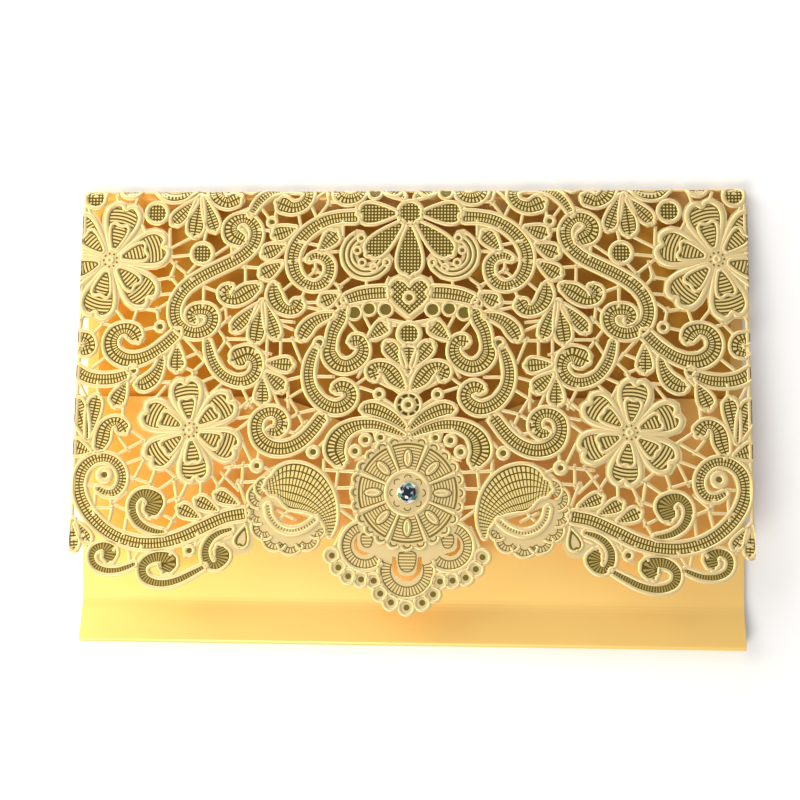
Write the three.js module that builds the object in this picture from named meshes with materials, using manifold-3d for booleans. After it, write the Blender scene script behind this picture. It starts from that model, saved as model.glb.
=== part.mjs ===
// Laser-cut wedding invitation: one folded sheet of pearlescent card, the plain insert card
// that it holds, and a flat-backed rhinestone on the medallion of its lace flap.
// Millimetres, +Z up. The card lies on its back panel, as it comes to rest, with the lace flap
// up and the top fold towards +Y. The origin is the middle of the back panel's outer face.
import * as THREE from 'three';
import { mergeVertices } from 'three/addons/utils/BufferGeometryUtils.js';
import Module from 'manifold-3d';

// Folded sheet
const CARD_WIDTH = 185;
const CARD_HEIGHT = 127;
const SHEET = 0.35;
const POCKET_HEIGHT = 68.5;
const POCKET_DIP_DEPTH = 13.2;
const POCKET_DIP_HALF_WIDTH = 40;
const POCKET_GAP = 2.2;
const KICK_HEIGHT = 10;
const KICK_BEND_RADIUS = 12;
const BASE_DEPTH = 5.6;
const FOOT_BEND_RADIUS = 0.8;
const TOP_FOLD_RADIUS = 2.2;
const FLAP_OPEN_DEG = 6;
const BEND_STEP_DEG = 15;

// Lace flap. The drawing below is made for a flap of DRAWN_WIDTH, and from the fold to
// the middle tip for DRAWN_LENGTH; it is stretched to the flap that the card has.
const FLAP_LENGTH = 119;
const DRAWN_WIDTH = 185;
const DRAWN_LENGTH = 119;
const RIM = 1.3;
const WEB_BAR = 0.85;
const WEB_BAR_REACH = 1.1;
const EDGE_BAR = 0.9;
const SMALLEST_WINDOW_AREA = 1.3;
const OUTLINE_TOLERANCE = 0.36;
const LINE_MARGIN = 0.04;
const ROUND_SIDES = 16;
const FACET_LENGTH = 1.5;

// Insert card
const INSERT_WIDTH = 178;
const INSERT_HEIGHT = 121;
const INSERT_THICKNESS = 0.5;
const INSERT_CORNER_RADIUS = 1.5;

// Rhinestone
const GEM_DIAMETER = 5.9;
const GEM_HEIGHT = 2.2;
const GEM_SIDES = 12;

// Clearance between pieces that touch on the real card
const CLEARANCE = 0.3;

// The drawing: each list is for the right half, in millimetres from the axis of symmetry
// and from the fold, and is mirrored. A scroll's or curled leaf's point is [x, v, half-width
// of its hatched field].
const SCROLLS = [
  // shoulder scroll beside the shell
  [[15.4, 8.9, 1.2], [19.4, 9.1, 1.1], [23.4, 10.0, 1.15], [27.4, 12.2, 1.2], [30.2, 14.9, 1.25],
    [32.1, 18.0, 1.25], [32.6, 21.5, 1.2], [31.7, 25.0, 1.2], [29.5, 27.6, 1.0], [26.5, 28.6, 0.9],
    [23.8, 27.6, 0.95], [22.3, 25.0, 0.85], [22.3, 22.3, 0.85], [24.0, 20.4, 0.75],
    [26.3, 20.1, 0.65], [27.9, 20.8, 0.4]],
  // scrolls that start at the fold
  [[44.7, 7.9, 0.3], [42.6, 4.6, 0.6], [39.8, 2.0, 0.7], [36.4, 0.6, 0.7], [32.6, 0.1, 0.8],
    [29.2, 0.9, 0.9], [28.5, 3.0, 0.9], [30.0, 5.3, 1.0], [33.0, 6.2, 1.3], [35.6, 5.3, 1.8]],
  [[13.6, -0.2, 0.8], [14.0, 2.2, 0.9], [15.9, 3.5, 1.1], [18.4, 3.4, 1.3], [20.0, 1.9, 1.2],
    [19.8, -0.2, 0.8]],
  // long S-scroll
  [[47.6, 15.3, 1.5], [49.7, 14.0, 1.9], [50.3, 11.6, 1.5], [48.7, 9.7, 1.1], [46.2, 9.3, 1.0],
    [44.0, 10.8, 1.1], [43.0, 13.2, 1.2], [43.5, 16.0, 1.2], [45.4, 18.7, 1.2], [48.5, 21.0, 1.2],
    [52.5, 23.0, 1.2], [56.5, 25.0, 1.2], [60.5, 27.4, 1.2], [63.3, 30.0, 1.2], [65.0, 33.0, 1.2],
    [65.5, 36.0, 1.15], [64.6, 39.0, 1.2], [62.1, 41.2, 1.25], [58.7, 41.8, 1.25],
    [55.7, 40.4, 1.25], [54.7, 37.8, 1.3], [55.6, 35.8, 1.25], [57.8, 35.2, 1.2],
    [60.0, 35.5, 1.1], [60.9, 37.0, 1.0], [60.1, 38.6, 0.7]],
  // scroll under the heart
  [[17.8, 35.0, 0.5], [19.2, 38.0, 1.2], [20.8, 41.2, 1.1], [21.5, 44.5, 1.0], [21.8, 47.5, 1.6],
    [20.1, 50.2, 1.6], [17.4, 51.1, 1.5], [14.8, 50.2, 1.4], [12.9, 48.2, 1.3], [12.5, 45.8, 1.1],
    [13.6, 44.0, 1.2], [15.0, 44.0, 1.3]],
  // inner arc
  [[25.8, 46.3, 0.5], [27.0, 49.3, 0.85], [27.6, 53.0, 1.0], [26.9, 57.0, 1.1], [24.9, 60.1, 1.2],
    [22.3, 62.0, 1.3], [19.6, 62.6, 1.4], [17.1, 61.6, 1.4], [15.7, 59.6, 1.2], [16.3, 57.4, 1.2],
    [18.3, 56.7, 1.3], [19.8, 57.2, 0.9]],
  // comma scroll of the middle
  [[55.9, 44.3, 0.4], [55.1, 47.6, 0.8], [53.8, 50.8, 0.9], [51.5, 53.6, 0.9], [48.5, 55.1, 0.95],
    [45.3, 55.3, 1.1], [42.9, 53.8, 1.2], [41.9, 51.2, 1.1], [42.6, 48.8, 1.4], [44.6, 47.7, 1.9],
    [46.9, 48.6, 2.3]],
  // scroll near the side edge, the band under it and the curl that the edge cuts
  [[64.6, 41.9, 1.0], [68.1, 45.3, 1.1], [72.1, 48.0, 1.15], [76.1, 49.4, 1.4], [79.6, 49.2, 1.6],
    [82.4, 47.2, 1.6], [83.2, 44.2, 1.5], [81.8, 41.5, 1.3], [79.1, 40.6, 1.2], [76.9, 41.6, 1.7],
    [76.1, 42.8, 1.4]],
  [[78.7, 53.7, 0.8], [81.7, 54.7, 1.1], [85.7, 55.0, 1.15], [89.5, 54.3, 1.2], [93.0, 52.3, 1.2]],
  [[92.8, 42.8, 0.9], [89.8, 43.8, 1.4], [89.2, 46.2, 1.2], [91.1, 47.0, 1.0]],
  // scroll beside the medallion
  [[23.7, 65.6, 1.1], [26.7, 69.5, 1.2], [29.7, 72.2, 1.3], [33.4, 73.8, 1.4], [37.2, 73.7, 1.5],
    [40.2, 71.9, 1.5], [41.6, 69.0, 1.2], [41.3, 66.0, 1.2], [39.3, 64.1, 1.0], [36.7, 63.9, 1.0],
    [34.9, 65.4, 1.2], [34.7, 67.8, 1.3], [36.2, 69.3, 1.1], [37.7, 69.3, 0.7]],
  // great scroll along the bottom
  [[44.8, 91.8, 1.2], [49.9, 92.9, 1.15], [55.9, 95.6, 1.2], [61.9, 98.4, 1.2], [67.9, 99.9, 1.15],
    [73.9, 99.9, 1.15], [79.9, 98.1, 1.15], [85.1, 94.5, 1.2], [89.0, 89.5, 1.2], [90.5, 84.5, 1.1],
    [89.6, 80.0, 1.1], [86.7, 77.3, 0.95], [83.2, 76.8, 0.8], [80.2, 78.3, 0.8], [78.5, 81.2, 0.8],
    [78.7, 84.2, 0.75], [80.4, 86.2, 0.65], [82.8, 86.4, 0.5], [85.0, 85.3, 0.3]],
  // comma inside it
  [[69.9, 91.0, 1.7], [69.3, 88.6, 2.2], [70.9, 86.9, 1.3], [73.2, 86.6, 0.8], [75.0, 88.4, 0.7],
    [75.3, 91.0, 0.7], [73.9, 94.0, 0.6], [71.4, 95.9, 0.5], [68.7, 96.8, 0.35], [66.5, 97.0, 0.15]],
  // commas of the fringe
  [[81.3, 104.0, 1.2], [81.1, 102.3, 1.6], [82.9, 100.9, 0.7], [85.2, 101.6, 0.6],
    [86.1, 103.6, 0.5], [85.2, 106.0, 0.45], [82.5, 107.4, 0.45], [79.0, 107.4, 0.35],
    [76.3, 106.6, 0.3], [74.2, 105.7, 0.15]],
  [[65.3, 106.6, 1.4], [64.9, 105.0, 2.1], [67.5, 103.7, 1.1], [70.2, 104.4, 0.9],
    [71.9, 106.3, 0.75], [71.5, 108.9, 0.7], [69.3, 110.4, 0.65], [66.0, 110.8, 0.55],
    [62.2, 109.9, 0.5], [58.5, 108.1, 0.4], [55.0, 106.2, 0.2]],
  [[50.8, 101.4, 0.9], [50.1, 103.2, 1.7], [50.9, 105.3, 0.9], [52.8, 105.9, 0.6],
    [54.4, 104.2, 0.7], [54.7, 101.3, 0.6], [53.3, 98.6, 0.5], [50.9, 96.9, 0.35],
    [47.9, 96.0, 0.15]]
];

const CURLED_LEAVES = [
  // palmette of the middle, left and right
  [[37.8, 28.8, 0.8], [37.6, 31.0, 1.6], [36.4, 33.6, 1.5], [34.1, 35.3, 1.0], [31.9, 35.1, 1.2],
    [30.9, 33.8, 1.5]],
  [[42.5, 28.9, 0.8], [45.0, 30.2, 1.8], [48.1, 32.0, 1.6], [50.8, 32.0, 1.2], [51.5, 30.2, 1.3],
    [50.3, 29.2, 0.8]],
  // under the heart
  [[1.5, 56.8, 0.5], [3.5, 54.6, 1.6], [5.4, 52.2, 1.5], [8.0, 51.0, 0.9], [9.9, 52.0, 1.2],
    [9.5, 53.5, 1.2]],
  // palmette at the side edge
  [[85.2, 74.0, 0.9], [84.4, 71.5, 1.6], [83.7, 68.5, 1.4], [82.0, 66.8, 0.9], [80.0, 66.9, 1.0],
    [78.8, 68.4, 1.4]],
  // palmette at the fold
  [[55.5, -0.3, 1.5], [54.3, 3.0, 1.5], [51.7, 4.7, 1.2], [49.3, 3.8, 1.5]],
  [[61.4, 0.3, 0.6], [64.4, 1.8, 1.6], [67.9, 1.9, 1.8], [70.2, 0.3, 1.5]],
  // crescents
  [[21.1, 36.8, 0.3], [24.0, 37.4, 0.8], [26.9, 39.0, 1.2], [28.6, 41.0, 1.5], [29.4, 42.4, 1.2]],
  [[68.6, 49.0, 0.3], [69.3, 51.8, 0.8], [70.9, 54.6, 1.5], [73.2, 56.2, 1.5], [74.2, 56.4, 1.2]],
  // sprays over the medallion
  [[0.5, 68.4, 0.15], [3.1, 66.0, 0.8], [6.2, 64.1, 1.2], [9.5, 62.9, 1.4], [11.6, 62.9, 1.0]],
  [[1.2, 70.0, 0.15], [4.7, 68.5, 0.6], [9.2, 67.2, 0.9], [13.7, 67.4, 1.1], [17.2, 69.0, 1.6],
    [19.3, 71.5, 2.1], [19.8, 74.5, 2.3], [18.6, 77.0, 1.5]],
  // arc band beside the heart
  [[6.8, 30.5, 1.35], [10.5, 30.7, 1.35], [14.0, 31.3, 1.3], [17.2, 32.3, 1.0]],
  // paisley
  [[20.9, 97.2, 0.1], [20.8, 94.5, 1.1], [21.7, 91.2, 2.4], [24.0, 87.9, 4.2], [27.4, 85.3, 5.6],
    [31.2, 84.0, 5.8], [34.3, 83.8, 4.6], [36.8, 84.2, 2.0]]
];

// Straight leaves: [tip x, tip v, end x, end v, half-width]
const LEAVES = [
  [0, 11.5, 0, 25.3, 3.0], [3.8, 7.9, 14.2, 7.9, 2.5], [2.2, 10.7, 11.6, 19.6, 2.4],
  [24.8, 18.3, 20.5, 13.4, 1.6], [32.2, 12.2, 38.1, 14.2, 1.6], [35.2, 17.1, 40.9, 19.6, 1.6],
  [35.8, 22.1, 41.3, 25.6, 1.6], [58.2, 3.4, 54.7, 12.7, 1.35], [59.2, 3.0, 60.7, 14.2, 1.8],
  [60.4, 4.2, 66.8, 10.5, 1.35], [19.8, 31.1, 24.5, 33.3, 1.5], [10.8, 43.2, 6.0, 39.3, 1.55],
  [1.2, 51.0, 6.1, 44.6, 1.5], [0, 52.8, 0, 45.4, 1.7], [38.7, 50.3, 32.2, 50.8, 1.5],
  [39.1, 53.2, 34.4, 57.4, 1.5], [40.3, 54.9, 40.3, 61.5, 1.5], [40.3, 33.6, 36.7, 43.1, 1.35],
  [41.0, 33.0, 42.7, 44.5, 1.75], [42.3, 34.2, 48.9, 41.0, 1.35], [64.4, 45.6, 64.3, 52.3, 1.6],
  [78.6, 56.2, 81.4, 62.1, 1.6], [88.6, 71.3, 86.5, 59.7, 1.5], [88.7, 71.2, 92.9, 60.3, 1.9],
  [88.1, 75.1, 93.8, 73.4, 1.8], [46.5, 89.1, 52.3, 86.5, 1.25], [52.0, 90.9, 57.7, 88.1, 1.3],
  [56.9, 92.9, 62.4, 90.3, 1.3], [91.7, 94.0, 91.1, 101.7, 0.95], [90.5, 95.0, 87.0, 99.6, 0.9],
  [1.8, 3.3, 7.3, -0.8, 1.6], [43.8, 94.4, 45.6, 101.0, 2.2]
];

// Discs: [x, v, radius of the field, rim]
const DISCS = [
  [0, 7.8, 2.8, 1.3], [0, 42.0, 2.4, 1.4], [71.4, 7.6, 2.4, 1.3], [58.2, 19.3, 2.4, 1.3],
  [89.2, 3.2, 2.3, 1.3], [6.5, 35.2, 1.55, 0.9], [11.1, 35.0, 1.5, 0.9], [15.2, 36.1, 1.6, 0.9],
  [38.7, 10.3, 0.7, 1.2], [18.7, 33.3, 1.0, 1.0], [24.7, 44.6, 0.9, 1.2], [8.0, 58.8, 0.7, 1.2],
  [7.5, 70.7, 0.7, 1.2], [11.6, 71.4, 0.75, 1.3], [14.4, 74.5, 0.75, 1.3], [25.9, 74.8, 0.8, 1.3],
  [41.3, 78.7, 0.7, 1.5], [76.6, 52.3, 0.9, 1.1], [69.4, 40.1, 0.75, 1.2], [83.5, 81.5, 0.8, 1.8],
  [59.2, 101.9, 0.7, 1.2], [9.9, 1.8, 1.5, 1.0], [79.3, 0.4, 2.3, 1.3], [0.0, 61.7, 3.0, 1.0],
  [4.5, 0.6, 2.0, 1.0], [45.0, -0.6, 2.0, 1.0]
];

// Web of straight bars between the motifs: [x, v, x, v]
const BARS = [
  // fold to shoulder scroll
  [23.7, 0.8, 22.7, 4.9], [23.7, 0.8, 27.9, 5.2], [22.7, 4.7, 26.2, 9.4], [27.7, 5.8, 26.0, 9.4],
  [14.4, 5.0, 15.2, 6.5], [22.7, 4.7, 19.8, 4.6],
  [31.3, 8.0, 30.6, 11.4], [37.7, 7.6, 38.1, 9.4], [41.7, 6.4, 39.6, 9.2],
  // inside the shoulder scroll
  [18.7, 10.2, 18.7, 14.0], [24.8, 12.0, 23.6, 14.0], [25.7, 17.0, 31.0, 15.9],
  [26.3, 21.3, 26.3, 24.2], [26.3, 24.2, 23.4, 25.6], [26.3, 24.2, 28.9, 26.6],
  [28.2, 20.9, 31.6, 21.3], [20.6, 18.8, 24.4, 19.2],
  // teardrops to the S-scroll
  [42.0, 23.4, 46.6, 23.1], [45.9, 23.0, 45.8, 27.5], [39.6, 12.8, 42.4, 12.4],
  [41.2, 19.0, 43.6, 18.4],
  // under the shoulder scroll
  [17.1, 26.8, 19.5, 28.6], [22.0, 27.0, 19.5, 28.6], [19.5, 28.6, 19.5, 31.4],
  [11.9, 27.2, 12.0, 29.0], [6.0, 26.8, 6.8, 28.8], [32.5, 27.5, 35.2, 29.8],
  [28.9, 29.2, 29.8, 31.6], [33.5, 21.6, 35.8, 21.9],
  // beside the palmette of the middle
  [24.9, 33.2, 28.9, 33.3], [25.3, 35.2, 29.3, 34.4], [32.7, 38.7, 35.8, 38.4],
  [32.5, 40.8, 35.4, 39.6], [31.0, 43.8, 36.0, 43.9], [32.2, 43.8, 30.0, 49.2],
  [35.5, 43.8, 35.5, 48.4], [39.3, 43.0, 39.3, 49.0], [39.0, 47.6, 42.5, 47.0],
  [39.6, 51.6, 41.2, 52.2],
  // middle field
  [12.8, 36.4, 10.8, 40.2], [17.2, 38.2, 14.0, 42.0], [1.8, 38.8, 7.4, 37.8],
  [4.0, 39.6, 6.4, 39.4], [5.8, 41.8, 8.2, 43.4], [21.4, 54.0, 25.6, 54.0],
  [11.4, 54.0, 14.8, 56.5], [12.8, 52.0, 13.6, 53.4], [5.0, 57.0, 7.4, 55.8],
  [2.4, 58.6, 4.8, 56.8], [3.6, 62.2, 6.6, 60.2], [10.0, 58.0, 13.2, 57.0],
  [30.0, 54.1, 33.4, 55.0], [29.2, 57.6, 33.2, 60.1], [33.2, 57.2, 33.0, 62.4],
  [26.0, 63.1, 30.3, 64.2], [32.6, 60.4, 30.2, 64.2], [30.2, 64.2, 33.6, 66.2],
  [30.2, 64.2, 28.4, 68.0], [30.4, 69.8, 34.0, 69.0], [28.4, 66.8, 31.2, 69.8],
  [37.2, 58.6, 35.4, 62.4], [41.9, 60.2, 44.4, 62.3],
  // round the medallion
  [15.0, 80.1, 22.4, 79.7], [18.9, 79.4, 19.6, 85.2], [15.6, 84.5, 20.0, 84.6],
  [14.8, 89.7, 19.0, 89.3], [14.0, 93.4, 18.6, 90.2], [17.4, 95.6, 19.4, 99.8],
  [22.9, 77.6, 22.8, 80.8], [5.0, 71.2, 9.2, 72.6], [9.4, 68.8, 9.0, 70.4], [12.2, 68.4, 12.4, 70.0],
  [12.0, 76.0, 13.6, 76.6], [23.0, 67.4, 22.0, 66.4], [24.0, 73.0, 23.0, 72.0],
  // S-scroll to the grid dot and the corner flower
  [57.2, 12.8, 58.0, 16.6], [62.0, 15.0, 66.9, 17.6], [61.6, 19.7, 66.6, 20.2],
  [59.9, 22.4, 62.4, 25.2], [62.4, 25.2, 66.4, 22.0], [62.4, 25.2, 60.8, 26.8],
  [65.8, 22.4, 66.8, 26.1], [66.8, 26.1, 64.0, 29.4], [66.8, 26.1, 70.4, 26.7],
  [50.0, 17.4, 49.6, 20.4], [51.0, 17.2, 55.6, 20.4], [74.4, 13.2, 75.6, 11.0],
  [65.9, 30.7, 69.4, 31.0], [57.4, 27.6, 57.5, 34.2], [57.0, 29.0, 52.6, 30.6],
  [77.2, 3.4, 77.8, 5.4], [44.6, 6.0, 48.0, 7.4], [67.4, 17.6, 67.6, 13.0],
  [83.0, 3.0, 82.4, 5.0], [91.0, 6.4, 90.0, 9.0],
  // S-scroll to the side scroll
  [66.6, 32.6, 70.5, 35.4], [70.5, 35.4, 73.4, 35.2], [70.5, 35.4, 69.9, 38.4],
  [76.2, 35.6, 77.2, 38.8], [81.8, 35.6, 79.4, 38.6], [71.0, 40.3, 73.8, 40.9],
  [85.6, 39.2, 88.4, 42.2], [83.6, 39.8, 86.0, 39.2], [84.6, 48.8, 88.0, 51.6],
  [91.2, 36.8, 92.2, 38.4],
  // middle of the half
  [62.4, 43.2, 56.8, 49.6], [59.0, 47.6, 62.8, 49.2], [56.4, 49.6, 59.6, 52.7],
  [59.6, 52.7, 62.8, 51.4], [59.6, 52.7, 60.0, 54.4], [50.4, 37.8, 53.4, 41.0],
  [53.0, 41.0, 50.8, 43.9], [50.8, 43.9, 53.6, 48.2], [50.8, 43.6, 44.6, 43.6],
  [50.8, 43.9, 49.6, 45.6], [51.2, 34.4, 50.8, 38.0], [51.4, 34.6, 53.4, 36.2],
  [53.4, 53.9, 56.8, 55.4], [51.4, 55.8, 54.2, 58.8], [56.8, 56.8, 55.0, 59.8],
  [46.2, 56.6, 43.6, 62.0], [41.6, 58.8, 46.4, 62.8], [67.4, 57.0, 69.8, 60.0],
  [66.4, 55.6, 69.2, 55.8], [75.8, 54.2, 77.6, 56.2], [78.9, 61.8, 79.0, 65.6],
  [86.4, 56.0, 86.2, 58.8], [91.6, 56.0, 89.8, 59.4], [64.2, 44.0, 64.4, 46.0],
  [66.0, 47.6, 67.6, 49.4],
  // between the side scroll of the medallion and the lower flower
  [43.8, 66.6, 47.4, 69.2], [43.0, 65.0, 46.4, 65.6], [43.0, 77.2, 45.4, 72.4],
  [40.8, 74.8, 41.2, 77.4], [39.4, 79.0, 37.2, 80.2], [42.4, 78.5, 49.4, 79.2],
  [45.1, 78.6, 45.2, 83.4], [41.6, 83.0, 46.2, 83.3], [46.2, 83.3, 44.2, 88.6],
  [48.0, 78.8, 52.0, 84.4], [50.6, 81.2, 46.2, 85.4], [53.4, 81.8, 51.8, 84.2],
  [56.6, 83.0, 56.6, 86.6], [60.6, 84.0, 62.4, 88.2], [64.1, 82.6, 63.0, 88.6],
  [63.5, 82.1, 66.4, 79.8], [64.1, 82.6, 68.2, 85.4], [69.6, 80.6, 70.8, 84.4],
  [72.8, 77.6, 75.2, 82.6], [70.8, 83.8, 77.2, 81.8], [73.4, 76.8, 77.4, 78.3],
  [73.6, 72.2, 79.6, 75.6], [72.6, 71.8, 76.2, 69.4], [77.4, 74.2, 79.8, 71.2],
  [62.2, 87.4, 66.2, 88.8], [62.6, 91.0, 64.0, 93.7], [66.2, 92.6, 64.0, 93.7],
  [64.0, 93.7, 65.6, 96.6], [61.8, 81.6, 64.0, 82.4],
  // inside the great scroll
  [77.2, 86.2, 81.0, 89.4], [81.0, 89.4, 82.2, 87.0], [76.4, 91.4, 81.0, 89.4],
  [80.8, 89.6, 81.8, 94.8], [81.2, 90.5, 87.0, 90.6], [85.7, 85.4, 86.0, 92.4],
  [85.4, 84.2, 88.8, 84.4], [76.6, 91.6, 77.4, 97.4],
  // fringe
  [61.0, 99.6, 60.4, 103.2], [76.2, 100.8, 75.4, 104.8], [57.0, 97.4, 57.6, 100.8],
  [55.6, 98.4, 57.6, 101.0], [88.0, 99.6, 87.2, 102.6], [47.6, 97.8, 49.4, 98.6],
  [88.6, 98.0, 91.6, 99.0], [63.0, 100.6, 64.4, 103.0], [72.4, 101.0, 74.6, 104.8],
  [78.6, 100.0, 80.0, 102.0],
  // under the paisley
  [31.2, 92.9, 34.6, 91.2], [32.4, 91.0, 34.0, 92.6]
];

// Six-petalled flowers: [centre x, centre v, field radius, angle of one petal in degrees]
const FLOWERS = [[84.2, 21.2, 16.4, 15.6], [60.0, 69.0, 14.1, 37.5]];
const PETALS = 6;
// Half of a petal's outline as shares of the flower's radius: [along, across]
const PETAL_HALF = [
  [0.16, 0.06], [0.53, 0.235], [0.72, 0.29], [0.86, 0.28], [0.95, 0.22], [1.0, 0.145], [0.985, 0.06],
  [0.925, 0.0]
];
const FLOWER_HUB = 2.4;

// Heart on the axis, half outline from the notch to the tip
const HEART_HALF = [
  [0, 28.6], [1.2, 27.2], [3.2, 26.5], [5.0, 27.5], [5.9, 29.8], [5.4, 32.0], [3.8, 34.2],
  [1.6, 36.0], [0, 37.1]
];

// Shell beside the middle leaf: a thick crescent round a centre
const SHELL = { x: 12.0, v: 19.6, radius: 5.2, halfWidth: 2.7, fromDeg: -62, toDeg: 160 };

// Medallion, its three lower lobes and the dots of its hem
const MEDALLION = { v: 85.7, radius: 14.2, bumps: 24, bumpRadius: 2.1, bumpAt: 13.9 };
const LOBES = [[0, 106.5, 7.2], [11.4, 100.0, 6.3]];
const LOBE_SLOTS = [
  [[-3.3, 103.0, 0.25], [-3.2, 106.6, 0.5], [-1.8, 108.4, 0.6], [0, 108.9, 0.65],
    [1.8, 108.4, 0.6], [3.4, 106.6, 0.5], [3.8, 103.0, 0.25]],
  [[13.5, 97.6, 0.25], [14.1, 99.6, 0.45], [13.3, 101.4, 0.5], [11.6, 102.3, 0.4], [10.2, 102.2, 0.2]]
];
const HEM_DOTS = [
  [20.3, 102.8], [18.5, 106.0], [15.8, 108.3], [12.3, 109.1], [8.9, 109.4], [7.1, 112.8],
  [4.2, 115.1], [0, 116.4]
];
const HEM_DOT_RIM = 2.6;
const HEM_FILL = [
  [0, 95], [13, 94], [15.5, 96], [18.4, 99.8], [20.3, 102.8], [18.5, 106.0], [15.8, 108.3],
  [12.3, 109.1], [8.9, 109.4], [7.1, 112.8], [4.2, 115.1], [0, 116.4]
];

// Fan of bumps under the paisley: [x, v, radius with the rim]
const FAN = [
  [24.5, 95.9, 2.9], [27.2, 98.2, 3.9], [31.6, 99.3, 4.0], [35.8, 98.3, 4.0], [38.9, 95.3, 3.9],
  [40.6, 91.3, 3.8], [40.2, 87.0, 3.9], [38.8, 84.6, 3.4]
];
const FAN_BAND = [
  [24.6, 92.9, 1.5], [27.6, 95.2, 1.5], [31.3, 96.3, 1.5], [34.8, 95.3, 1.5], [37.2, 92.6, 1.5],
  [38.0, 89.4, 1.4]
];
const FAN_WINDOWS = [
  [25.0, 94.9, 0.8], [39.2, 86.0, 1.3], [39.1, 94.4, 0.75], [40.4, 90.5, 0.65], [27.9, 97.6, 0.7],
  [35.6, 98.1, 0.65]
];

const DEGREE = Math.PI / 180;
const wasm = await Module();
wasm.setup();

// The card is folded upright and laid on its back at the end.
// Side profile of the sheet's middle surface, walked from the pocket's top edge down its
// front, under the spine, up the back and over the top fold. Each step is a straight
// length or a bend, and a positive bend turns the walk from the front towards the back.
const kickDrop = BASE_DEPTH - POCKET_GAP;
const kickAngle = Math.atan2(kickDrop, KICK_HEIGHT);
const kickLength = Math.hypot(kickDrop, KICK_HEIGHT) - FOOT_BEND_RADIUS;
const flapAngle = FLAP_OPEN_DEG * DEGREE;
const kickTangent = KICK_BEND_RADIUS * Math.tan(kickAngle / 2);
const PROFILE = [
  { straight: POCKET_HEIGHT - KICK_HEIGHT - kickTangent },
  { radius: KICK_BEND_RADIUS, turn: -kickAngle },
  { straight: kickLength - kickTangent },
  { radius: FOOT_BEND_RADIUS, turn: Math.PI / 2 + kickAngle },
  { straight: BASE_DEPTH - 2 * FOOT_BEND_RADIUS },
  { radius: FOOT_BEND_RADIUS, turn: Math.PI / 2 },
  { straight: CARD_HEIGHT - SHEET - FOOT_BEND_RADIUS - TOP_FOLD_RADIUS },
  { radius: TOP_FOLD_RADIUS, turn: Math.PI - flapAngle },
  { straight: FLAP_LENGTH + CARD_WIDTH / 8 }
];

// Walks the profile and returns its stations, one at each end of a straight and at each
// step of a bend.
function walkProfile() {
  const stations = [{ s: 0, y: 0, z: 0, heading: -Math.PI / 2 }];
  for (const piece of PROFILE) {
    const last = stations[stations.length - 1];
    if (piece.straight) {
      stations.push({
        s: last.s + piece.straight,
        y: last.y + piece.straight * Math.cos(last.heading),
        z: last.z + piece.straight * Math.sin(last.heading),
        heading: last.heading
      });
      continue;
    }
    const steps = Math.max(4, Math.round(Math.abs(piece.turn) / DEGREE / BEND_STEP_DEG));
    const side = Math.sign(piece.turn);
    const centreY = last.y - side * piece.radius * Math.sin(last.heading);
    const centreZ = last.z + side * piece.radius * Math.cos(last.heading);
    for (let i = 1; i <= steps; i++) {
      const heading = last.heading + piece.turn * i / steps;
      stations.push({
        s: last.s + piece.radius * Math.abs(piece.turn) * i / steps,
        y: centreY + side * piece.radius * Math.sin(heading),
        z: centreZ - side * piece.radius * Math.cos(heading),
        heading
      });
    }
  }
  return stations;
}

const stations = walkProfile();
const lowest = Math.min(...stations.slice(0, -1).map((station) => station.z));
const rearmost = Math.max(...stations.map((station) => station.y));
for (const station of stations) {
  station.y += BASE_DEPTH / 2 - rearmost;
  station.z += SHEET / 2 - lowest;
}
const crestStation = stations.reduce((best, station) => (station.z > best.z ? station : best));
const CREST = crestStation.s;
const backPlaneY = BASE_DEPTH / 2;

// Place of a point of the flat sheet once it is folded: x across, s along the sheet from
// the pocket's edge, w out of its outer face.
function foldedPoint(x, s, w) {
  let i = 1;
  while (i < stations.length - 1 && stations[i].s < s) i++;
  const from = stations[i - 1];
  const to = stations[i];
  const t = (s - from.s) / (to.s - from.s);
  const heading = from.heading + (to.heading - from.heading) * t;
  const y = from.y + (to.y - from.y) * t;
  const z = from.z + (to.z - from.z) * t;
  return new THREE.Vector3(x, y + Math.sin(heading) * w, z - Math.cos(heading) * w);
}

// A prism over a flat outline of [x, s] points, as a manifold solid
function prism(outline) {
  const shape = new THREE.Shape(outline.map(([x, s]) => new THREE.Vector2(x, s)));
  const geometry = new THREE.ExtrudeGeometry(shape, {
    depth: 1, bevelEnabled: false, curveSegments: 1
  });
  return solidFrom(geometry);
}

function merged(geometry) {
  geometry.deleteAttribute('normal');
  geometry.deleteAttribute('uv');
  return mergeVertices(geometry, 1e-4);
}

function solidFrom(geometry) {
  const joined = merged(geometry);
  return new wasm.Manifold(new wasm.Mesh({
    numProp: 3,
    vertProperties: Float32Array.from(joined.attributes.position.array),
    triVerts: Uint32Array.from(joined.index.array)
  }));
}

function circle(x, v, radius, sides = ROUND_SIDES) {
  const points = [];
  for (let i = 0; i < sides; i++) {
    const angle = 2 * Math.PI * (i + 0.5) / sides;
    points.push([x + radius * Math.cos(angle), v + radius * Math.sin(angle)]);
  }
  return points;
}

// Convex outline round a set of points
function hull(points) {
  const sorted = [...points].sort((a, b) => a[0] - b[0] || a[1] - b[1]);
  const chain = (list) => {
    const kept = [];
    for (const p of list) {
      while (kept.length > 1) {
        const [a, b] = kept.slice(-2);
        if ((b[0] - a[0]) * (p[1] - a[1]) - (b[1] - a[1]) * (p[0] - a[0]) > 1e-9) break;
        kept.pop();
      }
      kept.push(p);
    }
    kept.pop();
    return kept;
  };
  return [...chain(sorted), ...chain(sorted.reverse())];
}

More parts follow.
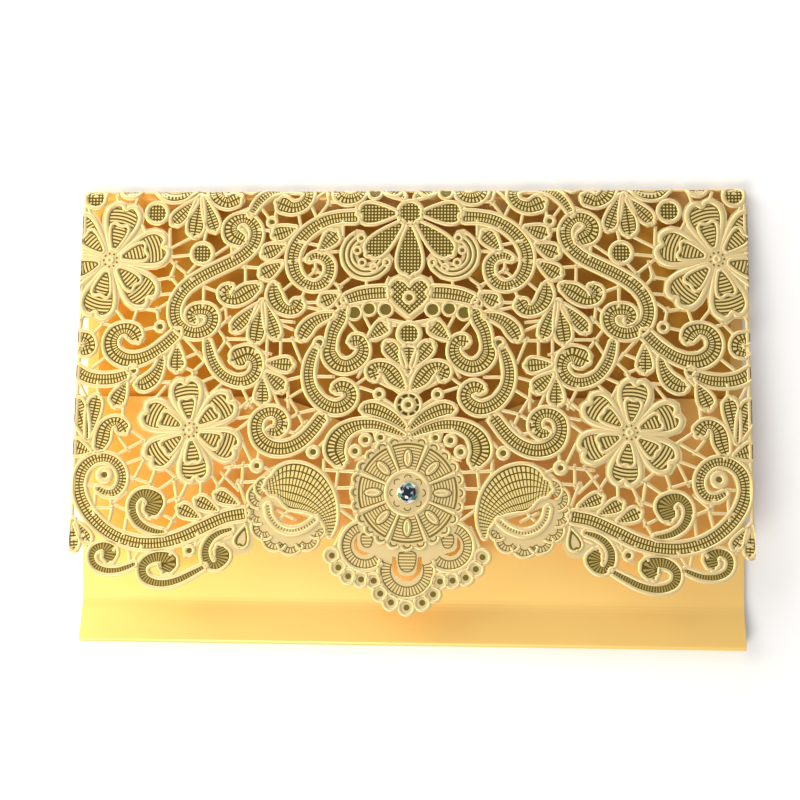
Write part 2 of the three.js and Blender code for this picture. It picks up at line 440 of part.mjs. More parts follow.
// Outlines that cover a stroke of changing half-width along a smooth line
function strokeOutlines(points, rim) {
  const line = new THREE.CatmullRomCurve3(
    points.map(([x, v, halfWidth]) => new THREE.Vector3(x, v, halfWidth)), false, 'centripetal');
  const steps = Math.max(2, Math.ceil(line.getLength() / FACET_LENGTH));
  const rounds = line.getSpacedPoints(steps).map((p) => circle(p.x, p.y, Math.max(p.z, 0) + rim));
  const outlines = [];
  for (let i = 0; i < steps; i++) outlines.push(hull([...rounds[i], ...rounds[i + 1]]));
  return outlines;
}

// A leaf is pointed at its tip and round at its end
function leafOutlines([tipX, tipV, endX, endV, halfWidth]) {
  const steps = 5;
  const discs = [];
  for (let i = 0; i <= steps; i++) {
    const t = 0.02 + 0.76 * i / steps;
    const width = 1.698 * Math.pow(t, 0.9) * Math.sqrt(1 - t ** 3) * halfWidth;
    discs.push([tipX + (endX - tipX) * t, tipV + (endV - tipV) * t, width]);
  }
  const length = Math.hypot(endX - tipX, endV - tipV);
  const last = discs[steps];
  const reach = Math.min(last[2], (1 - 0.78) * length);
  const rounds = discs.map(([x, v, width]) => circle(x, v, Math.min(width, reach * 3) + RIM));
  const end = circle(endX + (tipX - endX) * reach / length, endV + (tipV - endV) * reach / length,
    reach + RIM);
  const outlines = [];
  for (let i = 0; i < steps; i++) outlines.push(hull([...rounds[i], ...rounds[i + 1]]));
  outlines.push(hull([...rounds[steps], ...end]));
  return outlines;
}

// Outline moved outwards by the rim, corner by corner
function grown(outline, rim) {
  const area = outline.reduce((sum, [x, v], i) => {
    const [nextX, nextV] = outline[(i + 1) % outline.length];
    return sum + x * nextV - nextX * v;
  }, 0);
  const sign = area > 0 ? 1 : -1;
  return outline.map(([x, v], i) => {
    const [beforeX, beforeV] = outline[(i + outline.length - 1) % outline.length];
    const [afterX, afterV] = outline[(i + 1) % outline.length];
    const inward = new THREE.Vector2(x - beforeX, v - beforeV).normalize();
    const onward = new THREE.Vector2(afterX - x, afterV - v).normalize();
    const normal = new THREE.Vector2(inward.y + onward.y, -inward.x - onward.x).normalize();
    const cosine = Math.max(0.6, normal.x * onward.y - normal.y * onward.x);
    return [x + sign * normal.x * rim / cosine, v + sign * normal.y * rim / cosine];
  });
}

// Six heart petals round a hub
function flowerOutlines([centreX, centreV, radius, firstDeg]) {
  const outlines = [circle(centreX, centreV, FLOWER_HUB)];
  const half = [...PETAL_HALF, ...PETAL_HALF.slice(0, -1).reverse().map(([a, c]) => [a, -c])];
  for (let i = 0; i < PETALS; i++) {
    const angle = (firstDeg + 360 / PETALS * i) * DEGREE;
    const petal = half.map(([along, across]) => [
      centreX + radius * (along * Math.cos(angle) - across * Math.sin(angle)),
      centreV + radius * (along * Math.sin(angle) + across * Math.cos(angle))
    ]);
    outlines.push(grown(petal, RIM));
  }
  return outlines;
}

function shellPoints() {
  const points = [];
  for (let deg = SHELL.fromDeg; deg <= SHELL.toDeg; deg += (SHELL.toDeg - SHELL.fromDeg) / 8) {
    points.push([
      SHELL.x + SHELL.radius * Math.cos(deg * DEGREE),
      SHELL.v + SHELL.radius * Math.sin(deg * DEGREE),
      SHELL.halfWidth
    ]);
  }
  return points;
}

function medallionOutlines() {
  const outlines = [circle(0, MEDALLION.v, MEDALLION.radius, 2 * ROUND_SIDES)];
  for (let i = 0; i < MEDALLION.bumps; i++) {
    const angle = 2 * Math.PI * (i + 0.5) / MEDALLION.bumps;
    outlines.push(circle(MEDALLION.bumpAt * Math.cos(angle),
      MEDALLION.v + MEDALLION.bumpAt * Math.sin(angle), MEDALLION.bumpRadius));
  }
  return outlines;
}

// A bar runs on by its reach into what it joins
function barOutline([x, v, endX, endV], width, reach = 0) {
  const length = Math.hypot(endX - x, endV - v);
  const alongX = (endX - x) / length;
  const alongV = (endV - v) / length;
  const corner = (fromX, fromV, along, across) => [
    fromX + alongX * along - alongV * across,
    fromV + alongV * along + alongX * across
  ];
  return [
    corner(x, v, -reach, width / 2), corner(endX, endV, reach, width / 2),
    corner(endX, endV, reach, -width / 2), corner(x, v, -reach, -width / 2)
  ];
}

// Every outline of the right half of the lace, in the drawing's millimetres
function laceOutlines() {
  const heart = [...HEART_HALF, ...HEART_HALF.slice(1, -1).reverse().map(([x, v]) => [-x, v])];
  return [
    ...SCROLLS.flatMap((points) => strokeOutlines(points, RIM)),
    ...CURLED_LEAVES.flatMap((points) => strokeOutlines(points, RIM)),
    ...LEAVES.flatMap((leaf) => leafOutlines(leaf)),
    ...DISCS.map(([x, v, radius, rim]) => circle(x, v, radius + rim)),
    ...BARS.map((bar) => barOutline(bar, WEB_BAR, WEB_BAR_REACH)),
    ...FLOWERS.flatMap((flower) => flowerOutlines(flower)),
    grown(heart, RIM),
    ...strokeOutlines(shellPoints(), 0),
    ...medallionOutlines(),
    ...LOBES.map(([x, v, radius]) => circle(x, v, radius + RIM, 2 * ROUND_SIDES)),
    ...HEM_DOTS.map(([x, v]) => circle(x, v, HEM_DOT_RIM)),
    HEM_FILL,
    ...FAN.map(([x, v, radius]) => circle(x, v, radius)),
    ...strokeOutlines(FAN_BAND, 0),
    barOutline([DRAWN_WIDTH / 2 - EDGE_BAR / 2, -1, DRAWN_WIDTH / 2 - EDGE_BAR * 0.48, 97], EDGE_BAR),
    [[-1, -2], [DRAWN_WIDTH / 2, -2], [DRAWN_WIDTH / 2, 0.7], [-1, 0.7]]
  ];
}

function slotOutlines() {
  return [
    ...LOBE_SLOTS.flatMap((points) => strokeOutlines(points, 0)),
    ...FAN_WINDOWS.map(([x, v, radius]) => circle(x, v, radius))
  ];
}

// Takes a drawn outline to the sheet, on the right or mirrored to the left
function onSheet(outline, side) {
  const stretchX = CARD_WIDTH / DRAWN_WIDTH;
  const stretchV = FLAP_LENGTH / DRAWN_LENGTH;
  return outline.map(([x, v]) => [side * x * stretchX, CREST + v * stretchV]);
}

function bothSides(outlines) {
  return outlines.flatMap((outline) => [prism(onSheet(outline, 1)), prism(onSheet(outline, -1))]);
}

// Shaped edge of the pocket: level at the sides, with a shallow curved dip in the middle
function panelOutline() {
  const half = CARD_WIDTH / 2;
  const outline = [[half, 0], [half, CREST + 0.5], [-half, CREST + 0.5], [-half, 0]];
  const steps = 16;
  for (let i = 0; i <= steps; i++) {
    const x = POCKET_DIP_HALF_WIDTH * (2 * i / steps - 1);
    outline.push([x, POCKET_DIP_DEPTH * (0.5 + 0.5 * Math.cos(Math.PI * x / POCKET_DIP_HALF_WIDTH))]);
  }
  return outline;
}

// Boundary loops of a flat solid's upper face
function facePaths(solid) {
  const mesh = solid.getMesh();
  const { vertProperties, triVerts, numProp } = mesh;
  const point = (i) => [vertProperties[i * numProp], vertProperties[i * numProp + 1]];
  const isTop = (i) => vertProperties[i * numProp + 2] > 0.5;
  const next = new Map();
  const edges = new Set();
  for (let t = 0; t < triVerts.length; t += 3) {
    const corner = [triVerts[t], triVerts[t + 1], triVerts[t + 2]];
    if (!corner.every(isTop)) continue;
    for (let k = 0; k < 3; k++) edges.add(`${corner[k]},${corner[(k + 1) % 3]}`);
  }
  for (const edge of edges) {
    const [a, b] = edge.split(',');
    if (!edges.has(`${b},${a}`)) next.set(a, b);
  }
  const loops = [];
  while (next.size) {
    const loop = [];
    let at = next.keys().next().value;
    while (next.has(at)) {
      loop.push(point(Number(at)));
      const following = next.get(at);
      next.delete(at);
      at = following;
    }
    loops.push(loop);
  }
  return loops;
}

function loopArea(loop) {
  let sum = 0;
  loop.forEach(([x, y], i) => {
    const [nextX, nextY] = loop[(i + 1) % loop.length];
    sum += x * nextY - nextX * y;
  });
  return sum / 2;
}

function crossesItself(loop) {
  const turn = ([ax, ay], [bx, by], [cx, cy]) => (bx - ax) * (cy - ay) - (by - ay) * (cx - ax);
  return loop.some((a, i) => {
    const b = loop[(i + 1) % loop.length];
    return loop.some((c, j) => {
      const d = loop[(j + 1) % loop.length];
      const across = turn(a, b, c) * turn(a, b, d);
      const along = turn(c, d, a) * turn(c, d, b);
      return a !== c && a !== d && b !== c && across <= 0 && along <= 0 && across + along < 0;
    });
  });
}

// Leaves out the points of a loop that lie within a tolerance of the line between others,
// with a finer tolerance where the loop would otherwise cross itself
function simplified(loop, tolerance = OUTLINE_TOLERANCE) {
  const farFrom = (list, [x, y]) => list.reduce((best, [px, py], i) => {
    const distance = Math.hypot(px - x, py - y);
    return distance > best.distance ? { i, distance } : best;
  }, { i: 0, distance: -1 }).i;
  const reduce = (line) => {
    const [ax, ay] = line[0];
    const [bx, by] = line[line.length - 1];
    const length = Math.hypot(bx - ax, by - ay) || 1;
    let worst = 0;
    let index = 0;
    for (let i = 1; i < line.length - 1; i++) {
      const [x, y] = line[i];
      const off = Math.abs((bx - ax) * (y - ay) - (by - ay) * (x - ax)) / length;
      if (off > worst) [worst, index] = [off, i];
    }
    if (worst < tolerance) return [line[0], line[line.length - 1]];
    return [...reduce(line.slice(0, index + 1)).slice(0, -1), ...reduce(line.slice(index))];
  };
  const start = farFrom(loop, [0, 0]);
  const turned = [...loop.slice(start), ...loop.slice(0, start)];
  const opposite = farFrom(turned, turned[0]);
  const first = reduce(turned.slice(0, opposite + 1));
  const second = reduce([...turned.slice(opposite), turned[0]]);
  const result = [...first.slice(0, -1), ...second.slice(0, -1)];
  if (tolerance > 0.01 && crossesItself(result)) return simplified(loop, tolerance / 2);
  return result;
}

function isInside([x, y], loop) {
  let inside = false;
  loop.forEach(([ax, ay], i) => {
    const [bx, by] = loop[(i + 1) % loop.length];
    if ((ay > y) !== (by > y) && x < ax + (bx - ax) * (y - ay) / (by - ay)) inside = !inside;
  });
  return inside;
}

// Points of a loop at real corners, without those along a straight run
function cornersOnly(loop) {
  return loop.filter(([x, y], i) => {
    const [ax, ay] = loop[(i + loop.length - 1) % loop.length];
    const [bx, by] = loop[(i + 1) % loop.length];
    const off = Math.abs((bx - ax) * (y - ay) - (by - ay) * (x - ax)) / Math.hypot(bx - ax, by - ay);
    return off > 1e-4;
  });
}

// A point turned aside, so that no run of points along x or s looks exactly straight and the
// triangulation keeps every one
function turnedAside([x, s]) {
  return new THREE.Vector2(x, s).rotateAround(new THREE.Vector2(0, CREST), 1);
}

// Moves the points of a loop that nearly lie on one of the inner lines a little off it
function offLines(loop, lines) {
  return loop.map(([x, s]) => {
    const near = lines.slice(1).find((line) => Math.abs(line - s) < LINE_MARGIN);
    return near === undefined ? [x, s] : [x, near + (s < near ? -LINE_MARGIN : LINE_MARGIN)];
  });
}

// Faces of a flat sheet in strips between lines of constant s, so that it can be bent there.
// Each strip is meshed on its own, without the walls it shares with its neighbours, and the
// places where a window crosses a line are kept the same on both sides of it.
function stripFaces(solid, lines) {
  const corners = [];
  const far = CARD_WIDTH * 2;
  const crossings = [];
  const joined = ([x, s]) => {
    const line = lines.find((value) => Math.abs(s - value) < 1e-3);
    if (line === undefined) return [x, s];
    let known = crossings.find(([px, ps]) => ps === line && Math.abs(px - x) < 0.01);
    if (!known) {
      known = [x, line];
      crossings.push(known);
    }
    return known;
  };
  for (let i = 0; i + 1 < lines.length; i++) {
    const [from, to] = [lines[i], lines[i + 1]];
    const slab = prism([[-far, from], [far, from], [far, to], [-far, to]]);
    const loops = facePaths(solid.intersect(slab)).map(cornersOnly)
      .map((loop) => loop.map(joined)).filter((loop) => loop.length > 2);
    const outers = loops.filter((loop) => loopArea(loop) > 0);
    const holes = loops.filter((loop) => loopArea(loop) < 0);
    for (const outer of outers) {
      const within = holes.filter((hole) => isInside(hole[0], outer));
      const rings = [outer, ...within];
      const flatPoints = rings.flat();
      const vectors = rings.map((ring) => ring.map(turnedAside));
      for (const [a, b, c] of THREE.ShapeUtils.triangulateShape(vectors[0], vectors.slice(1))) {
        const triangle = [flatPoints[a], flatPoints[b], flatPoints[c]];
        corners.push(...triangle.map(([x, s]) => [x, s, SHEET]));
        corners.push(...triangle.reverse().map(([x, s]) => [x, s, 0]));
      }
      for (const ring of rings) {
        ring.forEach(([x, s], k) => {
          const [nextX, nextS] = ring[(k + 1) % ring.length];
          if (s === nextS && s !== 0 && lines.includes(s)) return;
          corners.push([x, s, 0], [nextX, nextS, 0], [nextX, nextS, SHEET]);
          corners.push([x, s, 0], [nextX, nextS, SHEET], [x, s, SHEET]);
        });
      }
    }
  }
  return corners;
}

// The whole sheet, cut flat and then folded
function foldedWrap() {
  const half = CARD_WIDTH / 2;
  const field = prism([[-half, -1], [half, -1], [half, CREST + 2 * FLAP_LENGTH],
    [-half, CREST + 2 * FLAP_LENGTH]]);
  const blank = wasm.Manifold.union([...bothSides(laceOutlines()), prism(panelOutline())])
    .intersect(field)
    .subtract(wasm.Manifold.union(bothSides(slotOutlines())));
  const lines = stations.map((station) => station.s);
  const loops = facePaths(blank).map((loop) => offLines(simplified(loop), lines))
    .filter((loop) => loop.length > 2);
  const outer = loops.reduce((best, loop) => (loopArea(loop) > loopArea(best) ? loop : best));
  const windows = loops.filter((loop) => loopArea(loop) < -SMALLEST_WINDOW_AREA);
  const sheet = prism(outer).subtract(wasm.Manifold.union(windows.map((window) => prism(window))));
  const corners = stripFaces(sheet, lines);
  const folded = corners.map(([x, s, w]) => foldedPoint(x, s, w - SHEET / 2));
  return facingOut(new THREE.BufferGeometry().setFromPoints(folded));
}

// Turns every face round if the body is inside out
function facingOut(geometry) {
  const body = mergeVertices(geometry, 1e-4);
  const corners = body.index.array;
  const at = (i) => new THREE.Vector3().fromBufferAttribute(body.attributes.position, corners[i]);
  let volume = 0;
  for (let i = 0; i < corners.length; i += 3) volume += at(i).dot(at(i + 1).cross(at(i + 2)));
  if (volume < 0) {
    for (let i = 0; i < corners.length; i += 3) {
      [corners[i], corners[i + 1]] = [corners[i + 1], corners[i]];
    }
  }
  body.computeVertexNormals();
  return body;
}

// Plain card with slightly rounded corners, on the spine and against the back panel
function insertCard() {
  const half = INSERT_WIDTH / 2;
  const r = INSERT_CORNER_RADIUS;
  const shape = new THREE.Shape();
  shape.moveTo(-half + r, 0);
  shape.lineTo(half - r, 0);
  shape.absarc(half - r, r, r, -Math.PI / 2, 0);
  shape.lineTo(half, INSERT_HEIGHT - r);
  shape.absarc(half - r, INSERT_HEIGHT - r, r, 0, Math.PI / 2);
  shape.lineTo(-half + r, INSERT_HEIGHT);
  shape.absarc(-half + r, INSERT_HEIGHT - r, r, Math.PI / 2, Math.PI);
  shape.lineTo(-half, r);
  shape.absarc(-half + r, r, r, Math.PI, 1.5 * Math.PI);
  const geometry = new THREE.ExtrudeGeometry(shape, {
    depth: INSERT_THICKNESS, bevelEnabled: false, curveSegments: 4
  });
  geometry.rotateX(Math.PI / 2);
  geometry.translate(0, backPlaneY - SHEET / 2 - CLEARANCE, SHEET + CLEARANCE);
  return facingOut(merged(geometry));
}

// Flat-backed stone: a girdle, one row of crown facets and a table
function rhinestone() {
  const radius = GEM_DIAMETER / 2;
  const profile = [[0, 0], [0.86, 0], [1, 0.14], [1, 0.24], [0.84, 0.58], [0.55, 1], [0, 1]]
    .map(([r, h]) => new THREE.Vector2(r * radius, h * GEM_HEIGHT));
  return facingOut(merged(new THREE.LatheGeometry(profile, GEM_SIDES)));
}

const goldCard = new THREE.MeshStandardMaterial({
  name: 'pearlescent gold card', color: 0xf0cd80, roughness: 0.42, metalness: 0.25,
  side: THREE.DoubleSide
});
const insertPaper = new THREE.MeshStandardMaterial({
  name: 'insert card', color: 0xd9b277, roughness: 0.6, metalness: 0.1
});
const crystal = new THREE.MeshStandardMaterial({
  name: 'crystal', color: 0xcfd6dd, roughness: 0.05, metalness: 0.4
});

const invitation = new THREE.Group();
invitation.name = 'wedding_invitation';

const wrapMesh = new THREE.Mesh(foldedWrap(), goldCard);
wrapMesh.name = 'folded_wrap';
invitation.add(wrapMesh);

const insertMesh = new THREE.Mesh(insertCard(), insertPaper);
insertMesh.name = 'insert_card';
invitation.add(insertMesh);

const gemMesh = new THREE.Mesh(rhinestone(), crystal);
gemMesh.name = 'rhinestone';
const gemSeat = CREST + MEDALLION.v * FLAP_LENGTH / DRAWN_LENGTH;
gemMesh.position.copy(foldedPoint(0, gemSeat, SHEET / 2 + CLEARANCE));
gemMesh.rotation.x = Math.PI - flapAngle;
invitation.add(gemMesh);

invitation.rotation.x = -Math.PI / 2;
invitation.position.set(0, -CARD_HEIGHT / 2, backPlaneY + SHEET / 2);

export default invitation;
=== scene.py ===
"""Looks of the wedding invitation: relief and hatching of the lace, materials, light, camera.

Lengths are in millimetres. A place on the flap is x across from the centre line, v down from the
fold and w out of the sheet's outer face. The right half is written down and mirrored.
"""
import math

import bpy
from mathutils import Matrix, Vector


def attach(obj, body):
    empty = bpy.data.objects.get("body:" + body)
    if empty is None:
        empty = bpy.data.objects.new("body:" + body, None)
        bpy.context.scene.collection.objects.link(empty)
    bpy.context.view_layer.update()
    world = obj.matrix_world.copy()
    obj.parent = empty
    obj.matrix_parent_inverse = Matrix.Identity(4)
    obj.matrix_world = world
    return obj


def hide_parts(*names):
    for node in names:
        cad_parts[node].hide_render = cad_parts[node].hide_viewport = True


MM = 0.001

# The folded sheet, as in the part's source
SHEET = 0.35
FOLD_RADIUS = 2.2
FOLD_CENTRE_Y = 61.13
FOLD_CENTRE_Z = 2.375
CREST_OFFSET = 0.115
FLAP_TURN = math.radians(84)
CARD_HALF = 92.5
FACE_TOLERANCE = 0.09

# The relief's end on the far side of the fold, the length of its fade and the share that stays
RELIEF_END = -2.8
RELIEF_FADE = 1.2
LEAST_RELIEF = 0.05

# How smooth lines, rounds and fills are divided
STEP = 0.55
LEAF_STEPS = 24
LEAF_FULLNESS = 1.698
LEAF_POWER = 0.9
CAP_SHARES = (0.5, 0.8, 0.95, 1.0)
LEAST_HALF = 0.05
ROUND_END_TURNS = (60, 20, -20, -60)
LEAST_CIRCLE = 12
CIRCLE_PER_MM = 8
DISC_SIDES = 28
DISC_SHARES = (0.001, 0.5, 1)
POLYGON_SHARES = (0.001, 0.35, 0.7, 1)
FIELD_SHARES = (-1, -0.5, 0, 0.5, 1)
LEAST_RING = 8
RING_SPACING = 40
LEAST_ARC = 6
ARC_SPACING = 30
CENTRAL_REACH = 0.3
CLIP_MARGIN = 0.05

# Raised borders and bars; the section is in shares of the half-width and of the height
RIDGE_SECTION = ((-1, 0), (-0.86, 0.62), (-0.4, 1), (0.4, 1), (0.86, 0.62), (1, 0))
RIM = 1.3
RIM_HEIGHT = 0.32
RIM_WIDTH = 1.1
RIM_OFFSET = 0.78
WEB_BAR = 0.95
WEB_BAR_HEIGHT = 0.2
WEB_BAR_REACH = 0.4
WEB_BAR_STEPS = 5
EDGE_BAR = 1.0
EDGE_BAR_INSET = 0.5
EDGE_BAR_LENGTH = 97
EDGE_BAR_STEPS = 60

# Printed fields and fine printed lines
FIELD_LIFT = 0.03
FIELD_GROWTH = 0.3
LEAF_FIELD_GROWTH = 0.15
DISC_GROWTH = 0.1
GRID_DISC_RADIUS = 1.9
PRINT_WIDTH = 0.3
PRINT_HEIGHT = 0.05
PRINT_LIFT = 0.05

# Flowers
PETALS = 6
PETAL_RIM = RIM * 1.15
PETAL_STEP = 0.6
PETAL_FIELD_LIFT = 0.06
PETAL_BOW = 0.045
SEED_STEP = 0.5
SEED_LIFT = 0.2
SEED_BOW = 0.03
FLOWER_HUB = 2.4
FLOWER_HUB_LIFT = 0.3
FLOWER_HUB_DOTS = 9
FLOWER_HUB_DOTS_AT = 1.9

# Wheel, shells and heart
WHEEL = [0, 61.7]
WHEEL_CELL_PITCH = 45
WHEEL_CELL_INSET = 6
HEART_CENTRE_V = 31.9
HEART_STEP = 0.5
SHELL_X = 12.0
SHELL_V = 19.6
SHELL_RADIUS = 5.2
SHELL_START = -62
SHELL_END = 160
SHELL_STEP = 6
SHELL_RIBS = ((1.9, 1.1), (0.4, 0.9), (-1.0, 0.8))
SHELL_RIB_HEIGHT = 0.3
SHELL_DOTS = ((13.5, 15.0), (14.6, 18.5), (13.2, 22.0), (9.9, 23.4), (6.4, 21.9))
GROOVE_GAP = 0.2
GROOVE_HALF = 0.22
GROOVE_LIFT = 0.12
GROOVE_INSET = 8

# Medallion, its lobes and the fans; angles are in degrees
MEDALLION_V = 85.7
MEDALLION_PLATE = 15.2
MEDALLION_PLATE_LIFT = 0.02
MEDALLION_HUB = 5.9
SECTORS = range(-2, 3)
SECTOR_PITCH = 45
SECTOR = 18.5
SECTOR_INNER = 6.6
SECTOR_OUTER = 13.4
SECTOR_SIDE = (6.6, 9, 11.4, 13.4)
SPOKE = (6.3, 9, 11.5, 13.9)
BUMP_AT = 13.9
BUMP_SHIFTS = (-15, 0, 15)
OVAL_AT = 9.4
LOBE_BANDS = (4.5, 3.9)
LOBE_STARTS = (112, 122)
LOBE_ENDS = (112, 85)
TONGUE_STEP = 0.4
FAN_CENTRE = (31.0, 86.0)
FAN_ARC = 75
FAN_BORDER_INSET = 0.45
FAN_BORDER_TURNS = range(-80, 81, 8)
FAN_DEPTH = 2.4
FAN_LEAST_INNER = 0.5
FAN_BAND_LEAST = 0.3

# The stone; rings are share of the radius, height and turn, tones are places in the painted
# reflection colours
GEM_RADIUS = 2.95
GEM_HEIGHT = 2.2
GEM_GAP = 0.3
GEM_SIDES = 12
GEM_RINGS = ((0.34, 2.2, 0), (0.56, 2.0, 0.5), (0.8, 1.35, 0), (0.97, 0.62, 0.5), (1.0, 0.3, 0.5),
             (0.88, 0.0, 0.5))
GEM_REFLECTION_TONES = ((0, 0, 1), (0, 1, 2, 0), (1, 3, 2, 1), (3, 1, 3), (3, 1, 3))
# The facet colours are painted reflections and highlights of the clear stone: a dark centre, grey
# and green facets and near-white painted glints
GEM_PAINTED_REFLECTIONS = (("stone_painted_dark_reflection", (0.012, 0.018, 0.028)), ("stone_painted_grey_reflection", (0.36, 0.41, 0.45)),
               ("stone_painted_green_reflection", (0.06, 0.22, 0.19)), ("stone_painted_highlight", (0.95, 0.97, 1.0)))

# Colours, with the sockets of Blender's colour mix
LIGHT_FIELD = (0.72, 0.56, 0.22)
LIGHT_PETAL = (0.70, 0.54, 0.22)
COMMA_FIELD = (0.36, 0.27, 0.08)
CREAM = (0.66, 0.51, 0.24)
GOLD = (0.88, 0.585, 0.18)
OLIVE = (0.105, 0.072, 0.006)
OLIVE_FILL = (0.15, 0.11, 0.014)
FINE_LINE = (0.18, 0.125, 0.018)
# The insert's colour is painted shade and painted warm bounce light: a dark orange-brown for the
# sheet that lies in the shade behind the lace, darker than the card itself
INSERT_PAINTED_SHADE = (0.60, 0.31, 0.02)
TABLE = (0.9, 0.89, 0.87)
ROOM = (0.82, 0.85, 0.9)
HATCH_BUMP = 0.5
HATCH_DEPTH = 0.0001
MIX_FACTOR = 0
MIX_DARK = 6
MIX_LIGHT = 7
MIX_RESULT = 2

# Light and camera in metres and watts; a lamp is name, place, target, size, power and colour
WORLD_STRENGTH = 0.55
LAMPS = (
    ("window", (-0.7, 0.45, 0.5), (0, 0, 0), 0.7, 5.2, (1, 0.98, 0.94)),
    ("front_soft", (-0.17, -0.38, 0.5), (0, 0, 0), 0.35, 3, (1, 0.97, 0.92)),
    ("top_edge", (-0.1, 0.7, 0.16), (0, 0.06, 0.01), 0.3, 3, (1, 1, 1)),
    ("under_flap", (-0.32, -0.02, 0.05), (-0.03, 0, 0.004), 0.08, 1.5, (1, 0.72, 0.2)),
)
TABLE_HALF = 3
SENSOR_WIDTH = 36
LENS = 53.17
CAMERA = (0.01437, -0.00066, 0.33365)
PITCH = 0.94
YAW = 2.96
ROLL = 0.31

